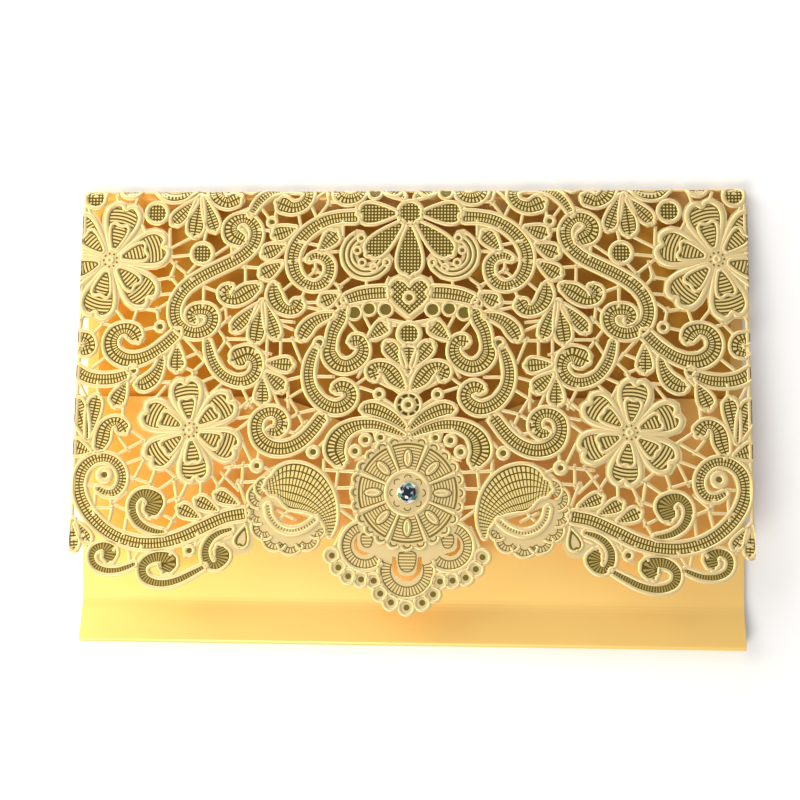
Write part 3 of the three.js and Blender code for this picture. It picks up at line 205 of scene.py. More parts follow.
# Strokes: x, v and half-width; the last scrolls are the commas
COMMAS = 4
SCROLLS = [
  # shoulder scroll beside the shell
  [[15.4, 8.9, 1.2], [19.4, 9.1, 1.1], [23.4, 10.0, 1.15], [27.4, 12.2, 1.2], [30.2, 14.9, 1.25],
    [32.1, 18.0, 1.25], [32.6, 21.5, 1.2], [31.7, 25.0, 1.2], [29.5, 27.6, 1.0], [26.5, 28.6, 0.9],
    [23.8, 27.6, 0.95], [22.3, 25.0, 0.85], [22.3, 22.3, 0.85], [24.0, 20.4, 0.75],
    [26.3, 20.1, 0.65], [27.9, 20.8, 0.4]],
  # scrolls that start at the fold
  [[44.7, 7.9, 0.3], [42.6, 4.6, 0.6], [39.8, 2.0, 0.7], [36.4, 0.6, 0.7], [32.6, 0.1, 0.8],
    [29.2, 0.9, 0.9], [28.5, 3.0, 0.9], [30.0, 5.3, 1.0], [33.0, 6.2, 1.3], [35.6, 5.3, 1.8]],
  [[13.6, -0.2, 0.8], [14.0, 2.2, 0.9], [15.9, 3.5, 1.1], [18.4, 3.4, 1.3], [20.0, 1.9, 1.2],
    [19.8, -0.2, 0.8]],
  # long S-scroll
  [[47.6, 15.3, 1.5], [49.7, 14.0, 1.9], [50.3, 11.6, 1.5], [48.7, 9.7, 1.1], [46.2, 9.3, 1.0],
    [44.0, 10.8, 1.1], [43.0, 13.2, 1.2], [43.5, 16.0, 1.2], [45.4, 18.7, 1.2], [48.5, 21.0, 1.2],
    [52.5, 23.0, 1.2], [56.5, 25.0, 1.2], [60.5, 27.4, 1.2], [63.3, 30.0, 1.2], [65.0, 33.0, 1.2],
    [65.5, 36.0, 1.15], [64.6, 39.0, 1.2], [62.1, 41.2, 1.25], [58.7, 41.8, 1.25],
    [55.7, 40.4, 1.25], [54.7, 37.8, 1.3], [55.6, 35.8, 1.25], [57.8, 35.2, 1.2],
    [60.0, 35.5, 1.1], [60.9, 37.0, 1.0], [60.1, 38.6, 0.7]],
  # scroll under the heart
  [[17.8, 35.0, 0.5], [19.2, 38.0, 1.2], [20.8, 41.2, 1.1], [21.5, 44.5, 1.0], [21.8, 47.5, 1.6],
    [20.1, 50.2, 1.6], [17.4, 51.1, 1.5], [14.8, 50.2, 1.4], [12.9, 48.2, 1.3], [12.5, 45.8, 1.1],
    [13.6, 44.0, 1.2], [15.0, 44.0, 1.3]],
  # inner arc
  [[25.8, 46.3, 0.5], [27.0, 49.3, 0.85], [27.6, 53.0, 1.0], [26.9, 57.0, 1.1], [24.9, 60.1, 1.2],
    [22.3, 62.0, 1.3], [19.6, 62.6, 1.4], [17.1, 61.6, 1.4], [15.7, 59.6, 1.2], [16.3, 57.4, 1.2],
    [18.3, 56.7, 1.3], [19.8, 57.2, 0.9]],
  # comma scroll of the middle
  [[55.9, 44.3, 0.4], [55.1, 47.6, 0.8], [53.8, 50.8, 0.9], [51.5, 53.6, 0.9], [48.5, 55.1, 0.95],
    [45.3, 55.3, 1.1], [42.9, 53.8, 1.2], [41.9, 51.2, 1.1], [42.6, 48.8, 1.4], [44.6, 47.7, 1.9],
    [46.9, 48.6, 2.3]],
  # scroll near the side edge, the band under it and the curl that the edge cuts
  [[64.6, 41.9, 1.0], [68.1, 45.3, 1.1], [72.1, 48.0, 1.15], [76.1, 49.4, 1.4], [79.6, 49.2, 1.6],
    [82.4, 47.2, 1.6], [83.2, 44.2, 1.5], [81.8, 41.5, 1.3], [79.1, 40.6, 1.2], [76.9, 41.6, 1.7],
    [76.1, 42.8, 1.4]],
  [[78.7, 53.7, 0.8], [81.7, 54.7, 1.1], [85.7, 55.0, 1.15], [89.5, 54.3, 1.2], [93.0, 52.3, 1.2]],
  [[92.8, 42.8, 0.9], [89.8, 43.8, 1.4], [89.2, 46.2, 1.2], [91.1, 47.0, 1.0]],
  # scroll beside the medallion
  [[23.7, 65.6, 1.1], [26.7, 69.5, 1.2], [29.7, 72.2, 1.3], [33.4, 73.8, 1.4], [37.2, 73.7, 1.5],
    [40.2, 71.9, 1.5], [41.6, 69.0, 1.2], [41.3, 66.0, 1.2], [39.3, 64.1, 1.0], [36.7, 63.9, 1.0],
    [34.9, 65.4, 1.2], [34.7, 67.8, 1.3], [36.2, 69.3, 1.1], [37.7, 69.3, 0.7]],
  # great scroll along the bottom
  [[44.8, 91.8, 1.2], [49.9, 92.9, 1.15], [55.9, 95.6, 1.2], [61.9, 98.4, 1.2], [67.9, 99.9, 1.15],
    [73.9, 99.9, 1.15], [79.9, 98.1, 1.15], [85.1, 94.5, 1.2], [89.0, 89.5, 1.2], [90.5, 84.5, 1.1],
    [89.6, 80.0, 1.1], [86.7, 77.3, 0.95], [83.2, 76.8, 0.8], [80.2, 78.3, 0.8], [78.5, 81.2, 0.8],
    [78.7, 84.2, 0.75], [80.4, 86.2, 0.65], [82.8, 86.4, 0.5], [85.0, 85.3, 0.3]],
  # comma inside it
  [[69.9, 91.0, 1.7], [69.3, 88.6, 2.2], [70.9, 86.9, 1.3], [73.2, 86.6, 0.8], [75.0, 88.4, 0.7],
    [75.3, 91.0, 0.7], [73.9, 94.0, 0.6], [71.4, 95.9, 0.5], [68.7, 96.8, 0.35], [66.5, 97.0, 0.15]],
  # commas of the fringe
  [[81.3, 104.0, 1.2], [81.1, 102.3, 1.6], [82.9, 100.9, 0.7], [85.2, 101.6, 0.6],
    [86.1, 103.6, 0.5], [85.2, 106.0, 0.45], [82.5, 107.4, 0.45], [79.0, 107.4, 0.35],
    [76.3, 106.6, 0.3], [74.2, 105.7, 0.15]],
  [[65.3, 106.6, 1.4], [64.9, 105.0, 2.1], [67.5, 103.7, 1.1], [70.2, 104.4, 0.9],
    [71.9, 106.3, 0.75], [71.5, 108.9, 0.7], [69.3, 110.4, 0.65], [66.0, 110.8, 0.55],
    [62.2, 109.9, 0.5], [58.5, 108.1, 0.4], [55.0, 106.2, 0.2]],
  [[50.8, 101.4, 0.9], [50.1, 103.2, 1.7], [50.9, 105.3, 0.9], [52.8, 105.9, 0.6],
    [54.4, 104.2, 0.7], [54.7, 101.3, 0.6], [53.3, 98.6, 0.5], [50.9, 96.9, 0.35],
    [47.9, 96.0, 0.15]]
]

# Curled leaves: x, v and half-width; the last one is the paisley
CURLED_LEAVES = [
  # palmette of the middle, left and right
  [[37.8, 28.8, 0.8], [37.6, 31.0, 1.6], [36.4, 33.6, 1.5], [34.1, 35.3, 1.0], [31.9, 35.1, 1.2],
    [30.9, 33.8, 1.5]],
  [[42.5, 28.9, 0.8], [45.0, 30.2, 1.8], [48.1, 32.0, 1.6], [50.8, 32.0, 1.2], [51.5, 30.2, 1.3],
    [50.3, 29.2, 0.8]],
  # under the heart
  [[1.5, 56.8, 0.5], [3.5, 54.6, 1.6], [5.4, 52.2, 1.5], [8.0, 51.0, 0.9], [9.9, 52.0, 1.2],
    [9.5, 53.5, 1.2]],
  # palmette at the side edge
  [[85.2, 74.0, 0.9], [84.4, 71.5, 1.6], [83.7, 68.5, 1.4], [82.0, 66.8, 0.9], [80.0, 66.9, 1.0],
    [78.8, 68.4, 1.4]],
  # palmette at the fold
  [[55.5, -0.3, 1.5], [54.3, 3.0, 1.5], [51.7, 4.7, 1.2], [49.3, 3.8, 1.5]],
  [[61.4, 0.3, 0.6], [64.4, 1.8, 1.6], [67.9, 1.9, 1.8], [70.2, 0.3, 1.5]],
  # crescents
  [[21.1, 36.8, 0.3], [24.0, 37.4, 0.8], [26.9, 39.0, 1.2], [28.6, 41.0, 1.5], [29.4, 42.4, 1.2]],
  [[68.6, 49.0, 0.3], [69.3, 51.8, 0.8], [70.9, 54.6, 1.5], [73.2, 56.2, 1.5], [74.2, 56.4, 1.2]],
  # sprays over the medallion
  [[0.5, 68.4, 0.15], [3.1, 66.0, 0.8], [6.2, 64.1, 1.2], [9.5, 62.9, 1.4], [11.6, 62.9, 1.0]],
  [[1.2, 70.0, 0.15], [4.7, 68.5, 0.6], [9.2, 67.2, 0.9], [13.7, 67.4, 1.1], [17.2, 69.0, 1.6],
    [19.3, 71.5, 2.1], [19.8, 74.5, 2.3], [18.6, 77.0, 1.5]],
  # arc band beside the heart
  [[6.8, 30.5, 1.35], [10.5, 30.7, 1.35], [14.0, 31.3, 1.3], [17.2, 32.3, 1.0]],
  # paisley
  [[20.9, 97.2, 0.1], [20.8, 94.5, 1.1], [21.7, 91.2, 2.4], [24.0, 87.9, 4.2], [27.4, 85.3, 5.6],
    [31.2, 84.0, 5.8], [34.3, 83.8, 4.6], [36.8, 84.2, 2.0]]
]

# Leaves: x and v of the tip and of the end, and half-width; the first ones have a grid
GRID_LEAVES = 3
LEAVES = [
  [0, 11.5, 0, 25.3, 3.0], [3.8, 7.9, 14.2, 7.9, 2.5], [2.2, 10.7, 11.6, 19.6, 2.4],
  [24.8, 18.3, 20.5, 13.4, 1.6], [32.2, 12.2, 38.1, 14.2, 1.6], [35.2, 17.1, 40.9, 19.6, 1.6],
  [35.8, 22.1, 41.3, 25.6, 1.6], [58.2, 3.4, 54.7, 12.7, 1.35], [59.2, 3.0, 60.7, 14.2, 1.8],
  [60.4, 4.2, 66.8, 10.5, 1.35], [19.8, 31.1, 24.5, 33.3, 1.5], [10.8, 43.2, 6.0, 39.3, 1.55],
  [1.2, 51.0, 6.1, 44.6, 1.5], [0, 52.8, 0, 45.4, 1.7], [38.7, 50.3, 32.2, 50.8, 1.5],
  [39.1, 53.2, 34.4, 57.4, 1.5], [40.3, 54.9, 40.3, 61.5, 1.5], [40.3, 33.6, 36.7, 43.1, 1.35],
  [41.0, 33.0, 42.7, 44.5, 1.75], [42.3, 34.2, 48.9, 41.0, 1.35], [64.4, 45.6, 64.3, 52.3, 1.6],
  [78.6, 56.2, 81.4, 62.1, 1.6], [88.6, 71.3, 86.5, 59.7, 1.5], [88.7, 71.2, 92.9, 60.3, 1.9],
  [88.1, 75.1, 93.8, 73.4, 1.8], [46.5, 89.1, 52.3, 86.5, 1.25], [52.0, 90.9, 57.7, 88.1, 1.3],
  [56.9, 92.9, 62.4, 90.3, 1.3], [91.7, 94.0, 91.1, 101.7, 0.95], [90.5, 95.0, 87.0, 99.6, 0.9],
  [1.8, 3.3, 7.3, -0.8, 1.6], [43.8, 94.4, 45.6, 101.0, 2.2]
]

# Discs: x, v, radius and width of the rim
DISCS = [
  [0, 7.8, 2.8, 1.3], [0, 42.0, 2.4, 1.4], [71.4, 7.6, 2.4, 1.3], [58.2, 19.3, 2.4, 1.3],
  [89.2, 3.2, 2.3, 1.3], [6.5, 35.2, 1.55, 0.9], [11.1, 35.0, 1.5, 0.9], [15.2, 36.1, 1.6, 0.9],
  [38.7, 10.3, 0.7, 1.2], [18.7, 33.3, 1.0, 1.0], [24.7, 44.6, 0.9, 1.2], [8.0, 58.8, 0.7, 1.2],
  [7.5, 70.7, 0.7, 1.2], [11.6, 71.4, 0.75, 1.3], [14.4, 74.5, 0.75, 1.3], [25.9, 74.8, 0.8, 1.3],
  [41.3, 78.7, 0.7, 1.5], [76.6, 52.3, 0.9, 1.1], [69.4, 40.1, 0.75, 1.2], [83.5, 81.5, 0.8, 1.8],
  [59.2, 101.9, 0.7, 1.2], [9.9, 1.8, 1.5, 1.0], [79.3, 0.4, 2.3, 1.3], [0.0, 61.7, 3.0, 1.0],
  [4.5, 0.6, 2.0, 1.0], [45.0, -0.6, 2.0, 1.0]
]

# Bars: x and v of both ends
BARS = [
  # fold to shoulder scroll
  [23.7, 0.8, 22.7, 4.9], [23.7, 0.8, 27.9, 5.2], [22.7, 4.7, 26.2, 9.4], [27.7, 5.8, 26.0, 9.4],
  [14.4, 5.0, 15.2, 6.5], [22.7, 4.7, 19.8, 4.6],
  [31.3, 8.0, 30.6, 11.4], [37.7, 7.6, 38.1, 9.4], [41.7, 6.4, 39.6, 9.2],
  # inside the shoulder scroll
  [18.7, 10.2, 18.7, 14.0], [24.8, 12.0, 23.6, 14.0], [25.7, 17.0, 31.0, 15.9],
  [26.3, 21.3, 26.3, 24.2], [26.3, 24.2, 23.4, 25.6], [26.3, 24.2, 28.9, 26.6],
  [28.2, 20.9, 31.6, 21.3], [20.6, 18.8, 24.4, 19.2],
  # teardrops to the S-scroll
  [42.0, 23.4, 46.6, 23.1], [45.9, 23.0, 45.8, 27.5], [39.6, 12.8, 42.4, 12.4],
  [41.2, 19.0, 43.6, 18.4],
  # under the shoulder scroll
  [17.1, 26.8, 19.5, 28.6], [22.0, 27.0, 19.5, 28.6], [19.5, 28.6, 19.5, 31.4],
  [11.9, 27.2, 12.0, 29.0], [6.0, 26.8, 6.8, 28.8], [32.5, 27.5, 35.2, 29.8],
  [28.9, 29.2, 29.8, 31.6], [33.5, 21.6, 35.8, 21.9],
  # beside the palmette of the middle
  [24.9, 33.2, 28.9, 33.3], [25.3, 35.2, 29.3, 34.4], [32.7, 38.7, 35.8, 38.4],
  [32.5, 40.8, 35.4, 39.6], [31.0, 43.8, 36.0, 43.9], [32.2, 43.8, 30.0, 49.2],
  [35.5, 43.8, 35.5, 48.4], [39.3, 43.0, 39.3, 49.0], [39.0, 47.6, 42.5, 47.0],
  [39.6, 51.6, 41.2, 52.2],
  # middle field
  [12.8, 36.4, 10.8, 40.2], [17.2, 38.2, 14.0, 42.0], [1.8, 38.8, 7.4, 37.8],
  [4.0, 39.6, 6.4, 39.4], [5.8, 41.8, 8.2, 43.4], [21.4, 54.0, 25.6, 54.0],
  [11.4, 54.0, 14.8, 56.5], [12.8, 52.0, 13.6, 53.4], [5.0, 57.0, 7.4, 55.8],
  [2.4, 58.6, 4.8, 56.8], [3.6, 62.2, 6.6, 60.2], [10.0, 58.0, 13.2, 57.0],
  [30.0, 54.1, 33.4, 55.0], [29.2, 57.6, 33.2, 60.1], [33.2, 57.2, 33.0, 62.4],
  [26.0, 63.1, 30.3, 64.2], [32.6, 60.4, 30.2, 64.2], [30.2, 64.2, 33.6, 66.2],
  [30.2, 64.2, 28.4, 68.0], [30.4, 69.8, 34.0, 69.0], [28.4, 66.8, 31.2, 69.8],
  [37.2, 58.6, 35.4, 62.4], [41.9, 60.2, 44.4, 62.3],
  # round the medallion
  [15.0, 80.1, 22.4, 79.7], [18.9, 79.4, 19.6, 85.2], [15.6, 84.5, 20.0, 84.6],
  [14.8, 89.7, 19.0, 89.3], [14.0, 93.4, 18.6, 90.2], [17.4, 95.6, 19.4, 99.8],
  [22.9, 77.6, 22.8, 80.8], [5.0, 71.2, 9.2, 72.6], [9.4, 68.8, 9.0, 70.4], [12.2, 68.4, 12.4, 70.0],
  [12.0, 76.0, 13.6, 76.6], [23.0, 67.4, 22.0, 66.4], [24.0, 73.0, 23.0, 72.0],
  # S-scroll to the grid dot and the corner flower
  [57.2, 12.8, 58.0, 16.6], [62.0, 15.0, 66.9, 17.6], [61.6, 19.7, 66.6, 20.2],
  [59.9, 22.4, 62.4, 25.2], [62.4, 25.2, 66.4, 22.0], [62.4, 25.2, 60.8, 26.8],
  [65.8, 22.4, 66.8, 26.1], [66.8, 26.1, 64.0, 29.4], [66.8, 26.1, 70.4, 26.7],
  [50.0, 17.4, 49.6, 20.4], [51.0, 17.2, 55.6, 20.4], [74.4, 13.2, 75.6, 11.0],
  [65.9, 30.7, 69.4, 31.0], [57.4, 27.6, 57.5, 34.2], [57.0, 29.0, 52.6, 30.6],
  [77.2, 3.4, 77.8, 5.4], [44.6, 6.0, 48.0, 7.4], [67.4, 17.6, 67.6, 13.0],
  [83.0, 3.0, 82.4, 5.0], [91.0, 6.4, 90.0, 9.0],
  # S-scroll to the side scroll
  [66.6, 32.6, 70.5, 35.4], [70.5, 35.4, 73.4, 35.2], [70.5, 35.4, 69.9, 38.4],
  [76.2, 35.6, 77.2, 38.8], [81.8, 35.6, 79.4, 38.6], [71.0, 40.3, 73.8, 40.9],
  [85.6, 39.2, 88.4, 42.2], [83.6, 39.8, 86.0, 39.2], [84.6, 48.8, 88.0, 51.6],
  [91.2, 36.8, 92.2, 38.4],
  # middle of the half
  [62.4, 43.2, 56.8, 49.6], [59.0, 47.6, 62.8, 49.2], [56.4, 49.6, 59.6, 52.7],
  [59.6, 52.7, 62.8, 51.4], [59.6, 52.7, 60.0, 54.4], [50.4, 37.8, 53.4, 41.0],
  [53.0, 41.0, 50.8, 43.9], [50.8, 43.9, 53.6, 48.2], [50.8, 43.6, 44.6, 43.6],
  [50.8, 43.9, 49.6, 45.6], [51.2, 34.4, 50.8, 38.0], [51.4, 34.6, 53.4, 36.2],
  [53.4, 53.9, 56.8, 55.4], [51.4, 55.8, 54.2, 58.8], [56.8, 56.8, 55.0, 59.8],
  [46.2, 56.6, 43.6, 62.0], [41.6, 58.8, 46.4, 62.8], [67.4, 57.0, 69.8, 60.0],
  [66.4, 55.6, 69.2, 55.8], [75.8, 54.2, 77.6, 56.2], [78.9, 61.8, 79.0, 65.6],
  [86.4, 56.0, 86.2, 58.8], [91.6, 56.0, 89.8, 59.4], [64.2, 44.0, 64.4, 46.0],
  [66.0, 47.6, 67.6, 49.4],
  # between the side scroll of the medallion and the lower flower
  [43.8, 66.6, 47.4, 69.2], [43.0, 65.0, 46.4, 65.6], [43.0, 77.2, 45.4, 72.4],
  [40.8, 74.8, 41.2, 77.4], [39.4, 79.0, 37.2, 80.2], [42.4, 78.5, 49.4, 79.2],
  [45.1, 78.6, 45.2, 83.4], [41.6, 83.0, 46.2, 83.3], [46.2, 83.3, 44.2, 88.6],
  [48.0, 78.8, 52.0, 84.4], [50.6, 81.2, 46.2, 85.4], [53.4, 81.8, 51.8, 84.2],
  [56.6, 83.0, 56.6, 86.6], [60.6, 84.0, 62.4, 88.2], [64.1, 82.6, 63.0, 88.6],
  [63.5, 82.1, 66.4, 79.8], [64.1, 82.6, 68.2, 85.4], [69.6, 80.6, 70.8, 84.4],
  [72.8, 77.6, 75.2, 82.6], [70.8, 83.8, 77.2, 81.8], [73.4, 76.8, 77.4, 78.3],
  [73.6, 72.2, 79.6, 75.6], [72.6, 71.8, 76.2, 69.4], [77.4, 74.2, 79.8, 71.2],
  [62.2, 87.4, 66.2, 88.8], [62.6, 91.0, 64.0, 93.7], [66.2, 92.6, 64.0, 93.7],
  [64.0, 93.7, 65.6, 96.6], [61.8, 81.6, 64.0, 82.4],
  # inside the great scroll
  [77.2, 86.2, 81.0, 89.4], [81.0, 89.4, 82.2, 87.0], [76.4, 91.4, 81.0, 89.4],
  [80.8, 89.6, 81.8, 94.8], [81.2, 90.5, 87.0, 90.6], [85.7, 85.4, 86.0, 92.4],
  [85.4, 84.2, 88.8, 84.4], [76.6, 91.6, 77.4, 97.4],
  # fringe
  [61.0, 99.6, 60.4, 103.2], [76.2, 100.8, 75.4, 104.8], [57.0, 97.4, 57.6, 100.8],
  [55.6, 98.4, 57.6, 101.0], [88.0, 99.6, 87.2, 102.6], [47.6, 97.8, 49.4, 98.6],
  [88.6, 98.0, 91.6, 99.0], [63.0, 100.6, 64.4, 103.0], [72.4, 101.0, 74.6, 104.8],
  [78.6, 100.0, 80.0, 102.0],
  # under the paisley
  [31.2, 92.9, 34.6, 91.2], [32.4, 91.0, 34.0, 92.6]
]

# Flowers: x, v, radius and angle of the first petal
FLOWERS = [[84.2, 21.2, 16.4, 15.6], [60.0, 69.0, 14.1, 37.5]]

# Half outlines of a petal and its parts, in shares of the flower's radius
PETAL_HALF = [
  [0.16, 0.06], [0.53, 0.235], [0.72, 0.29], [0.86, 0.28], [0.95, 0.22], [1.0, 0.145],
  [0.985, 0.06], [0.925, 0.0]
]
PETAL_FIELD_HALF = [
  [0.4, 0.11], [0.55, 0.185], [0.7, 0.235], [0.82, 0.235], [0.9, 0.18], [0.94, 0.12], [0.93, 0.06],
  [0.88, 0.0]
]
SEED_RIM_HALF = [[0.2, 0.045], [0.36, 0.115], [0.5, 0.155], [0.6, 0.16], [0.65, 0.1], [0.62, 0.0]]
SEED_HALF = [[0.22, 0.0], [0.36, 0.075], [0.48, 0.11], [0.56, 0.11], [0.6, 0.06], [0.59, 0.0]]

# Right half of the heart: x and v
HEART_HALF = [
  [0, 28.6], [1.2, 27.2], [3.2, 26.5], [5.0, 27.5], [5.9, 29.8], [5.4, 32.0], [3.8, 34.2],
  [1.6, 36.0], [0, 37.1]
]

# Lobes: x, v and radius
LOBES = [[0, 106.5, 7.2], [11.4, 100.0, 6.3]]

# Tongues in the lobes: x and v of closed outlines
TONGUES = [
  [[-2.2, 101.9], [0, 101.6], [2.2, 101.9], [2.3, 104.4], [1.5, 106.3], [0, 106.9], [-1.5, 106.3],
    [-2.3, 104.4]],
  [[9.2, 98.2], [10.6, 97.0], [12.2, 97.0], [12.5, 98.8], [11.6, 100.3], [10.0, 100.2]]
]

# Dots of the hem: x and v
HEM_DOTS = [
  [20.3, 102.8], [18.5, 106.0], [15.8, 108.3], [12.3, 109.1], [8.9, 109.4], [7.1, 112.8],
  [4.2, 115.1], [0, 116.4]
]
HEM_DOT_RIM = 2.6

# Scallops of the fans: x, v and radius
FAN = [
  [24.5, 95.9, 2.9], [27.2, 98.2, 3.9], [31.6, 99.3, 4.0], [35.8, 98.3, 4.0], [38.9, 95.3, 3.9],
  [40.6, 91.3, 3.8], [40.2, 87.0, 3.9], [38.8, 84.6, 3.4]
]

# Band of the fans: x, v and half-width
FAN_BAND = [
  [24.6, 92.9, 1.5], [27.6, 95.2, 1.5], [31.3, 96.3, 1.5], [34.8, 95.3, 1.5], [37.2, 92.6, 1.5],
  [38.0, 89.4, 1.4]
]


def flap_point(x, v, w):
    """Place of a point of the flap, in metres."""
    angle = (v - CREST_OFFSET) / FOLD_RADIUS
    turned = max(-FLAP_TURN, min(FLAP_TURN, angle))
    rest = (angle - turned) * FOLD_RADIUS
    share = max(LEAST_RELIEF, min(1, (v - RELIEF_END) / RELIEF_FADE))
    radius = FOLD_RADIUS + SHEET / 2 + w * share
    y = FOLD_CENTRE_Y + radius * math.cos(turned) - rest * math.sin(turned)
    z = FOLD_CENTRE_Z + radius * math.sin(turned) + rest * math.cos(turned)
    return (x * MM, y * MM, z * MM)


def smooth(points, step=STEP):
    """Points along a smooth line through the given ones, with any further values carried."""
    count = len(points[0])
    ends = [[2 * points[0][k] - points[1][k] for k in range(count)]]
    last = [[2 * points[-1][k] - points[-2][k] for k in range(count)]]
    p = ends + points + last
    out = []
    for i in range(1, len(p) - 2):
        a, b, c, d = p[i - 1:i + 3]
        n = max(1, round(math.hypot(c[0] - b[0], c[1] - b[1]) / step))
        for j in range(n):
            t = j / n
            out.append([0.5 * (2 * b[k] + (c[k] - a[k]) * t
                               + (2 * a[k] - 5 * b[k] + 4 * c[k] - d[k]) * t * t
                               + (3 * b[k] - a[k] - 3 * c[k] + d[k]) * t ** 3)
                        for k in range(count)])
    out.append(list(p[-2]))
    return out


def closed_smooth(points, step):
    """Smooth line through the points and back to the first."""
    return smooth(points + [points[0]], step)[:-1]


def normals(line):
    """Unit vectors across a line, one for each of its points."""
    out = []
    for i in range(len(line)):
        a = line[max(0, i - 1)]
        b = line[min(len(line) - 1, i + 1)]
        length = math.hypot(b[0] - a[0], b[1] - a[1]) or 1
        out.append((-(b[1] - a[1]) / length, (b[0] - a[0]) / length))
    return out


def stroke_stations(points):
    """Stations (x, v, half-width) of a stroke, closed at both ends by round caps."""
    line = smooth(points)
    head = cap_stations(line[0], line[1])
    tail = cap_stations(line[-1], line[-2])
    return head[::-1] + line + tail


def cap_stations(end, inner):
    """Stations of the half round that closes a stroke beyond its end."""
    length = math.hypot(end[0] - inner[0], end[1] - inner[1]) or 1
    dx = (end[0] - inner[0]) / length
    dy = (end[1] - inner[1]) / length
    half = max(end[2], LEAST_HALF)
    return [[end[0] + dx * half * t, end[1] + dy * half * t, half * math.sqrt(1 - t * t)]
            for t in CAP_SHARES]


def leaf_stations(leaf):
    """Stations of a leaf, pointed at its tip and round at its end."""
    tip_x, tip_v, end_x, end_v, half = leaf
    out = []
    for i in range(LEAF_STEPS + 1):
        t = (1 - math.cos(math.pi * i / LEAF_STEPS)) / 2
        width = LEAF_FULLNESS * t ** LEAF_POWER * math.sqrt(max(0, 1 - t ** 3))
        out.append([tip_x + (end_x - tip_x) * t, tip_v + (end_v - tip_v) * t, half * width])
    return out


def outline(stations, grow):
    """Closed line round the stations, outside their half-widths by grow."""
    side = normals(stations)
    left = [(s[0] + n[0] * (s[2] + grow), s[1] + n[1] * (s[2] + grow))
            for s, n in zip(stations, side)]
    right = [(s[0] - n[0] * (s[2] + grow), s[1] - n[1] * (s[2] + grow))
             for s, n in zip(stations, side)]
    first = round_end(stations[0], stations[1], grow)
    last = round_end(stations[-1], stations[-2], grow)
    return left + last + right[::-1] + first


def round_end(end, inner, grow):
    """Arc round a stroke's end, from its left side to its right as seen along the walk."""
    heading = math.atan2(end[1] - inner[1], end[0] - inner[0])
    return [(end[0] + grow * math.cos(heading + a), end[1] + grow * math.sin(heading + a))
            for a in (math.radians(d) for d in ROUND_END_TURNS)]


def circle(x, v, radius):
    """Closed line round a centre."""
    count = max(LEAST_CIRCLE, round(radius * CIRCLE_PER_MM))
    turns = [math.tau * i / count for i in range(count)]
    return [(x + radius * math.cos(a), v + radius * math.sin(a)) for a in turns]


